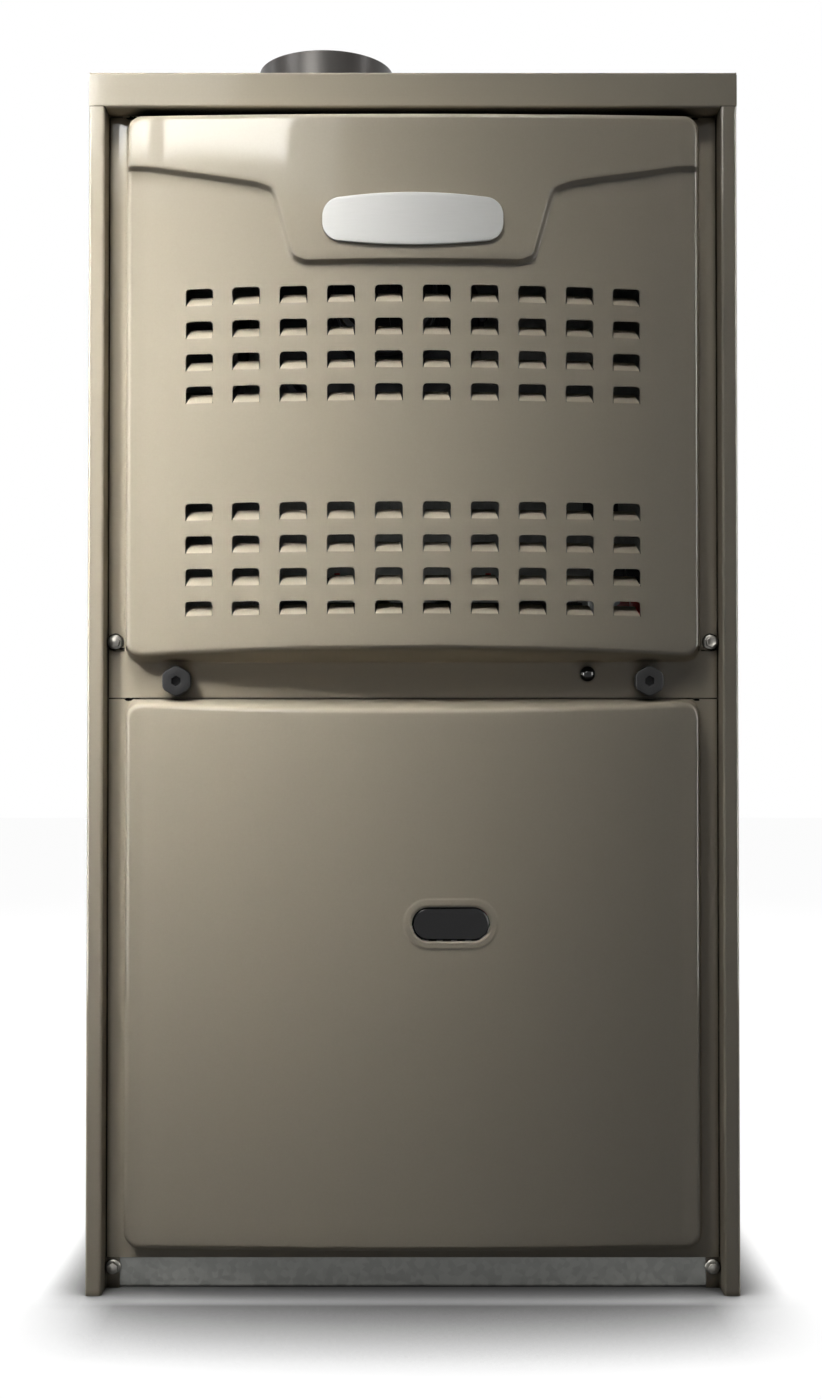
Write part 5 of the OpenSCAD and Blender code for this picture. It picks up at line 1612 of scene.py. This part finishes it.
@dataclass
class Controls(SubAssembly):
    """The circuit board, the transformer and the draft proving switch."""

    board_x: float = 21.5
    board_z: float = 298.5
    board_half_w: float = 78.0
    board_half_h: float = 72.0
    board_t: float = 1.6
    face_e: float = 60.0
    transformer_x: float = -116.0
    transformer_z: float = 318.5
    rear_e: float = 69.5
    core_sheets: int = 12
    core_limbs: tuple[tuple[Flat, Flat], ...] = (((-32, -28), (-22, 28)), ((22, -28), (32, 28)),
                                                 ((-22, 14), (22, 28)), ((-22, -28), (22, -14)),
                                                 ((-10, -14), (10, 14)))
    switch_x: float = -222.0
    switch_e: float = 140.0
    switch_z: float = 640.0
    switch_case: Outline = ((0, 0.3), (29, 0.3), (30, 1.2), (30, 7.4), (33, 8), (34, 8.8), (34, 12.4), (33, 13.2),
                            (31, 13.4), (30.4, 12.6), (27.8, 12.8), (27, 18), (24, 19), (14, 19), (13, 20.4),
                            (5, 20.4), (3, 21.6), (3, 24.4), (3.4, 25), (3, 26.8), (3.4, 27.4), (2.6, 29.8),
                            (0, 29.8))

    def build(self) -> None:
        """Builds every piece of the controls."""
        self.board()
        self.board_parts()
        self.transformer()
        self.draft_switch()

    def on_board(self, form: Form, low: Flat, high: Flat, height: float, soft: float = 0.6) -> None:
        """Stands a block on the board.

        Args:
            form: The form that gets it.
            low: Its lower left corner from the board's middle.
            high: Its upper right corner.
            height: How far it stands out.
            soft: Radius of its edges.
        """
        form.block((self.board_x + low[0], self.face_e - height, self.board_z + low[1]),
                   (self.board_x + high[0], self.face_e + 0.05, self.board_z + high[1]), soft)

    def can(self, form: Form, place: Flat, radius: float, height: float) -> None:
        """Stands a round part on the board.

        Args:
            form: The form that gets it.
            place: Its middle from the board's middle.
            radius: Its radius.
            height: How far it stands out.
        """
        x, z = self.board_x + place[0], self.board_z + place[1]
        form.bar((x, self.face_e - height, z), (x, self.face_e + 0.05, z), radius, min(0.8, radius / 3))

    def board(self) -> None:
        """Builds the bare board with its four posts."""
        x, z, half_w, half_h = self.board_x, self.board_z, self.board_half_w, self.board_half_h
        form = Form().block((x - half_w, self.face_e, z - half_h),
                            (x + half_w, self.face_e + self.board_t, z + half_h), 0.2)
        for post_x in (x - half_w + 8, x + half_w - 8):
            for post_z in (z - half_h + 8, z + half_h - 8):
                form.bar((post_x, self.face_e + 1.5, post_z), (post_x, self.rear_e, post_z), 3, 0.2, 6)
        self.shop.piece(form.done(), "circuit_board", "cabinet", "board_green", ("control_board",), 35)

    def board_parts(self) -> None:
        """Stands the relays, the terminals, the capacitors, the chips and the lamp on the board."""
        black, white, metal, red = Form(), Form(), Form(), Form()
        for k in range(4):
            self.on_board(black, (-68 + 36 * k, 34), (-42 + 36 * k, 62), 20, 1.2)
            for at in (-62 + 36 * k, -48 + 36 * k):
                self.on_board(metal, (at - 0.4, 63.2), (at + 0.4, 69), 7, 0.1)
        self.on_board(white, (-66, -66), (58, -54), 9, 0.8)
        for k in range(12):
            self.on_board(metal, (-61.5 + 10.2 * k, -63.5), (-55.5 + 10.2 * k, -57), 14, 0.4)
        self.on_board(white, (-70, -36), (-58, 16), 8.8)
        for k in range(6):
            self.on_board(metal, (-66.6, -33 + 8.4 * k), (-61.4, -27.8 + 8.4 * k), 10, 0.3)
        for form, place, radius, height in ((black, (40, 2), 9, 24), (metal, (66, -2), 7, 18),
                                            (metal, (52, -30), 4, 11), (red, (4, -44), 2.5, 8)):
            self.can(form, place, radius, height)
        self.on_board(red, (14, -46), (34, -38), 7)
        self.on_board(black, (-40, -14), (-4, -2), 3.6, 0.3)
        self.on_board(black, (2, 10), (22, 17), 3.2, 0.3)
        for k in range(9):
            self.on_board(metal, (-39.4 + 4.2 * k, -16), (-38.4 + 4.2 * k, 0), 1.2, 0.1)
        for k in range(8):
            x = self.board_x - 36 + 7 * k
            white.bar((x, self.face_e - 2, self.board_z + 21), (x, self.face_e - 2, self.board_z + 28), 1.1, 0.3, 12)
        for form, name, slot in ((black, "board_relays_and_chips", "black_plastic"),
                                 (white, "board_sockets", "white_plastic"),
                                 (metal, "board_terminals", "zinc"),
                                 (red, "board_fuse_and_lamp", "red_plastic")):
            self.shop.piece(form.done(), name, "cabinet", slot)

    def transformer(self) -> None:
        """Builds the transformer's laminations, its taped coil and its feet."""
        x, z, rear = self.transformer_x, self.transformer_z, self.rear_e
        core = Form()
        for near in (rear - 36 + 2.5 * k for k in range(self.core_sheets)):
            for low, high in self.core_limbs:
                core.block((x + low[0], near, z + low[1]), (x + high[0], near + 2.2, z + high[1]), 0.15, 1)
        for left, right in ((-38, -20), (20, 38)):
            core.block((x + left, rear - 6.4, z - 20), (x + right, rear - 0.1, z + 20), 0.6)
        self.shop.piece(core.done(), "transformer_core", "cabinet", "lamination", ("transformer",), 35)
        coil = Form().block((x - 21, rear - 44, z - 13), (x + 21, rear - 2, z + 13), 4, 4)
        for tape in (z - 9, z + 9):
            coil.block((x - 14, rear - 45.4, tape - 2.4), (x + 14, rear - 43.4, tape + 2.4), 0.5)
        self.shop.piece(coil.done(), "transformer_coil", "cabinet", "ceramic", (), 35)

    def draft_switch(self) -> None:
        """Builds the diaphragm switch with its crimped rim, its port and its terminals."""
        x, e, z = self.switch_x, self.switch_e, self.switch_z
        form, blades = Form(), Form()
        form.lathe(self.switch_case, (x, e, z), ACROSS, 72)
        self.shop.piece(form.done(), "draft_switch_case", "cabinet", "black_plastic", ("pressure_switch",), 30)
        for near in (e - 20, e + 14):
            blades.block((x + 18, near, z + 8), (x + 27, near + 6, z + 8.8), 0.15)
        self.shop.piece(blades.done(), "draft_switch_terminals", "cabinet", "zinc")


# ---------------------------------------------------------------- studio

WHITE = (1.0, 1.0, 1.0)
WARM = (1.0, 0.99, 0.97)
CREAM = (1.0, 0.99, 0.95)


@dataclass(frozen=True)
class Lamp:
    """A softbox.

    Attributes:
        name: Name of the lamp.
        place: Its place in metres.
        target: The point it faces, in metres.
        size: Its width and height in metres.
        power: Its power in watts.
        spread: Angle of its grid, in degrees. 180 is no grid.
        colour: Its colour.
        mirrored: Whether it shows in glossy surfaces alone. Else it lights the matt ones alone.
    """

    name: str
    place: Point
    target: Point
    size: Flat
    power: float
    spread: float = 180.0
    colour: Point = WHITE
    mirrored: bool = False


@dataclass
class Studio:
    """The camera, the lamps, the floor and the world that show the furnace.

    Attributes:
        camera_place, camera_pitch, lens, sensor: The camera, in metres, degrees and millimetres.
        ambient: Strength of the room's light.
        floor_half, floor_glow, floor_grey: The floor's half width in metres, its glow and its grey.
        shadow_reach, shadow_depth: How far in metres and how deeply the furnace shades the floor.
        front_reach, front_stretch, side_stretch: The wider shade in front: its reach, and the Y and
            the distance from the middle over which it sets in.
        lamps: The lamps.
    """

    camera_place: Point = (-0.00128, -1.5051, 0.38463)
    camera_pitch: float = 91.0385
    lens: float = 43.83
    sensor: float = 36.0
    ambient: float = 0.004
    floor_half: float = 6.0
    floor_glow: float = 0.97
    floor_grey: float = 0.1
    shadow_reach: float = 0.035
    shadow_depth: float = 3.6
    shadow_samples: int = 16
    front_reach: float = 0.14
    front_stretch: Flat = (-0.33, -0.36)
    side_stretch: Flat = (0.27, 0.2)
    lamps: tuple[Lamp, ...] = (
        Lamp("upper_left", (-0.75, -1.15, 1.35), (-0.31, -0.34, 0.6), (0.22, 0.36), 1.0, 32, WARM),
        Lamp("high_left", (-0.3, -1.0, 1.6), (-0.15, -0.34, 0.65), (0.25, 0.25), 0.55, 40, WARM),
        Lamp("high_near", (-0.35, -0.7, 1.5), (-0.2, -0.34, 0.3), (0.2, 0.1), 0.5, 45, WARM),
        Lamp("overhead", (0.0, 0.3, 2.6), (0.0, 0.1, 0.8), (2.0, 1.2), 6.0),
        Lamp("side_left", (-1.6, 0.2, 0.9), (-0.2, 0.05, 0.45), (0.8, 1.2), 4.5, 60),
        Lamp("side_right", (1.6, 0.2, 0.9), (0.2, 0.05, 0.45), (0.8, 1.2), 4.5, 60),
        Lamp("rear_left", (-1.3, 1.5, 1.0), (0.0, 0.3, 0.45), (0.8, 1.4), 12.0),
        Lamp("rear_right", (1.3, 1.5, 1.0), (0.0, 0.3, 0.45), (0.8, 1.4), 12.0),
        Lamp("top_right", (0.4, -1.2, 1.9), (0.17, -0.34, 0.87), (0.2, 0.2), 0.12, 25, WARM),
        Lamp("edge_left", (-1.4, -0.9, 0.6), (0.0, -0.34, 0.45), (0.3, 1.4), 50.0, 180, CREAM, True),
        Lamp("edge_right", (1.4, -0.9, 0.6), (0.0, -0.34, 0.45), (0.3, 1.4), 30.0, 180, CREAM, True),
        Lamp("edge_top", (0.0, -1.2, 2.6), (0.0, -0.34, 0.45), (1.2, 0.3), 40.0, 180, CREAM, True),
        Lamp("crest_mirror", (-0.8, -1.815, 1.648), (-0.15, -0.36, 0.74), (0.67, 0.628), 44.0, 180, CREAM, True),
        Lamp("crest_halo", (-0.72, -1.84, 1.62), (-0.15, -0.36, 0.74), (0.95, 0.7), 9.0, 180, CREAM, True),
        Lamp("collar_left", (-1.3, 0.15, 1.3), (-0.06, 0.0, 0.9), (0.06, 0.6), 1.6, 180, WHITE, True),
        Lamp("collar_middle", (-0.155, -0.27, 0.99), (-0.08, -0.04, 0.9), (0.04, 0.15), 0.14, 180, WHITE, True),
        Lamp("collar_right", (0.055, -0.257, 0.99), (-0.05, -0.04, 0.9), (0.02, 0.15), 0.07, 180, WHITE, True),
    )

    def build(self) -> None:
        """Sets the camera, the lamps, the floor and the world."""
        self._camera()
        for lamp in self.lamps:
            self._lamp(lamp)
        self._floor()
        self._world()
        bpy.context.scene.view_settings.view_transform = "Standard"

    def _show(self, name: str, data: bpy.types.ID) -> bpy.types.Object:
        """Puts a camera, a lamp or a mesh into the scene.

        Args:
            name: Its name.
            data: What it holds.

        Returns:
            The object.
        """
        made = bpy.data.objects.new(name, data)
        bpy.context.scene.collection.objects.link(made)
        return made

    def _camera(self) -> None:
        """Sets the camera at the photograph's viewing angle."""
        data = bpy.data.cameras.new("camera")
        data.lens, data.sensor_width, data.clip_end = self.lens, self.sensor, 50
        camera = self._show("camera", data)
        camera.location = self.camera_place
        camera.rotation_euler = (math.radians(self.camera_pitch), 0, 0)
        bpy.context.scene.camera = camera

    def _lamp(self, lamp: Lamp) -> None:
        """Hangs one softbox.

        Args:
            lamp: The softbox.
        """
        data = bpy.data.lights.new(lamp.name, "AREA")
        data.shape = "RECTANGLE"
        data.size, data.size_y = lamp.size
        data.energy, data.color, data.spread = lamp.power, lamp.colour, math.radians(lamp.spread)
        made = self._show(lamp.name, data)
        made.location = lamp.place
        made.rotation_euler = (Vector(lamp.target) - Vector(lamp.place)).to_track_quat("-Z", "Y").to_euler()
        made.visible_diffuse, made.visible_glossy = not lamp.mirrored, lamp.mirrored
        made.visible_camera = False

    def _shown_rays(self, graph: Graph) -> Socket:
        """Tells the rays that see the backdrop and the floor's glow from those that light the furnace.

        Args:
            graph: The nodes that get it.

        Returns:
            Socket with 1 for camera, glossy and transmission rays and 0 for the rest.
        """
        rays = graph.add("LightPath", {}).outputs
        either = graph.sum("MAXIMUM", rays["Is Camera Ray"], rays["Is Glossy Ray"])
        return graph.sum("MAXIMUM", either, rays["Is Transmission Ray"])

    def _shade(self, graph: Graph, reach: float) -> Socket:
        """Returns a socket with the floor's shade, from 0 under the furnace to 1 in the open."""
        return graph.sum("POWER", graph.openness(reach, self.shadow_samples), self.shadow_depth)

    def _floor(self) -> None:
        """Lays the pale floor, which keeps the furnace's shadow."""
        mesh = bmesh.new()
        bmesh.ops.create_grid(mesh, x_segments=4, y_segments=4, size=self.floor_half)
        data = bpy.data.meshes.new("floor")
        mesh.to_mesh(data)
        mesh.free()
        material = bpy.data.materials.new("floor_paper")
        data.materials.append(material)
        graph = Graph(material)
        graph.nodes.remove(graph.nodes["Principled BSDF"])
        place = graph.add("SeparateXYZ", {0: graph.place()}).outputs
        before = graph.ramp(place["Y"], *self.front_stretch)
        between = graph.ramp(graph.sum("ABSOLUTE", place["X"]), *self.side_stretch)
        shade = graph.add("Mix", {"Factor": graph.sum("MULTIPLY", before, between),
                                  "A": self._shade(graph, self.shadow_reach),
                                  "B": self._shade(graph, self.front_reach)}).outputs["Result"]
        strength = graph.sum("MULTIPLY", self._shown_rays(graph), self.floor_glow)
        paper = graph.add("BsdfDiffuse", {"Color": (*[self.floor_grey] * 3, 1.0)})
        glow = graph.add("Emission", {"Color": shade, "Strength": strength})
        both = graph.add("AddShader", {0: paper.outputs[0], 1: glow.outputs[0]})
        graph.feed(graph.nodes["Material Output"], {"Surface": both.outputs[0]})
        self._show("floor", data)

    def _world(self) -> None:
        """Sets the white backdrop and the room's weak light."""
        world = bpy.data.worlds.new("room")
        bpy.context.scene.world = world
        graph = Graph(world)
        graph.nodes.clear()
        room, white = (graph.add("Background", {"Color": (*WHITE, 1.0), "Strength": strength}).outputs[0]
                       for strength in (self.ambient, 1.0))
        pick = graph.add("MixShader", {0: self._shown_rays(graph), 1: room, 2: white})
        graph.add("OutputWorld", {"Surface": pick.outputs[0]})


# ---------------------------------------------------------------- assembly

def main() -> None:
    """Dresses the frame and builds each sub-assembly."""
    logging.basicConfig(level=logging.INFO, format="%(name)s %(message)s")
    paints = Paintbox(FINISHES)
    paints.dress_nodes()
    shop = Workshop(paints)
    Studio().build()
    parts = [kind(shop) for kind in (UpperDoor, LowerDoor, Badge, SightWindow, PlugButton, CabinetScrews, VentCollar)]
    parts += [LatchKnob(shop, "latch_knob_left_moulded", "latch_knob_left", "latch_left", -162.7),
              LatchKnob(shop, "latch_knob_right_moulded", "latch_knob_right", "latch_right", 162.7)]
    parts += [kind(shop) for kind in (GasTrain, Inducer, Controls)]
    for part in parts:
        part.build()


if __name__ == "__main__":
    main()
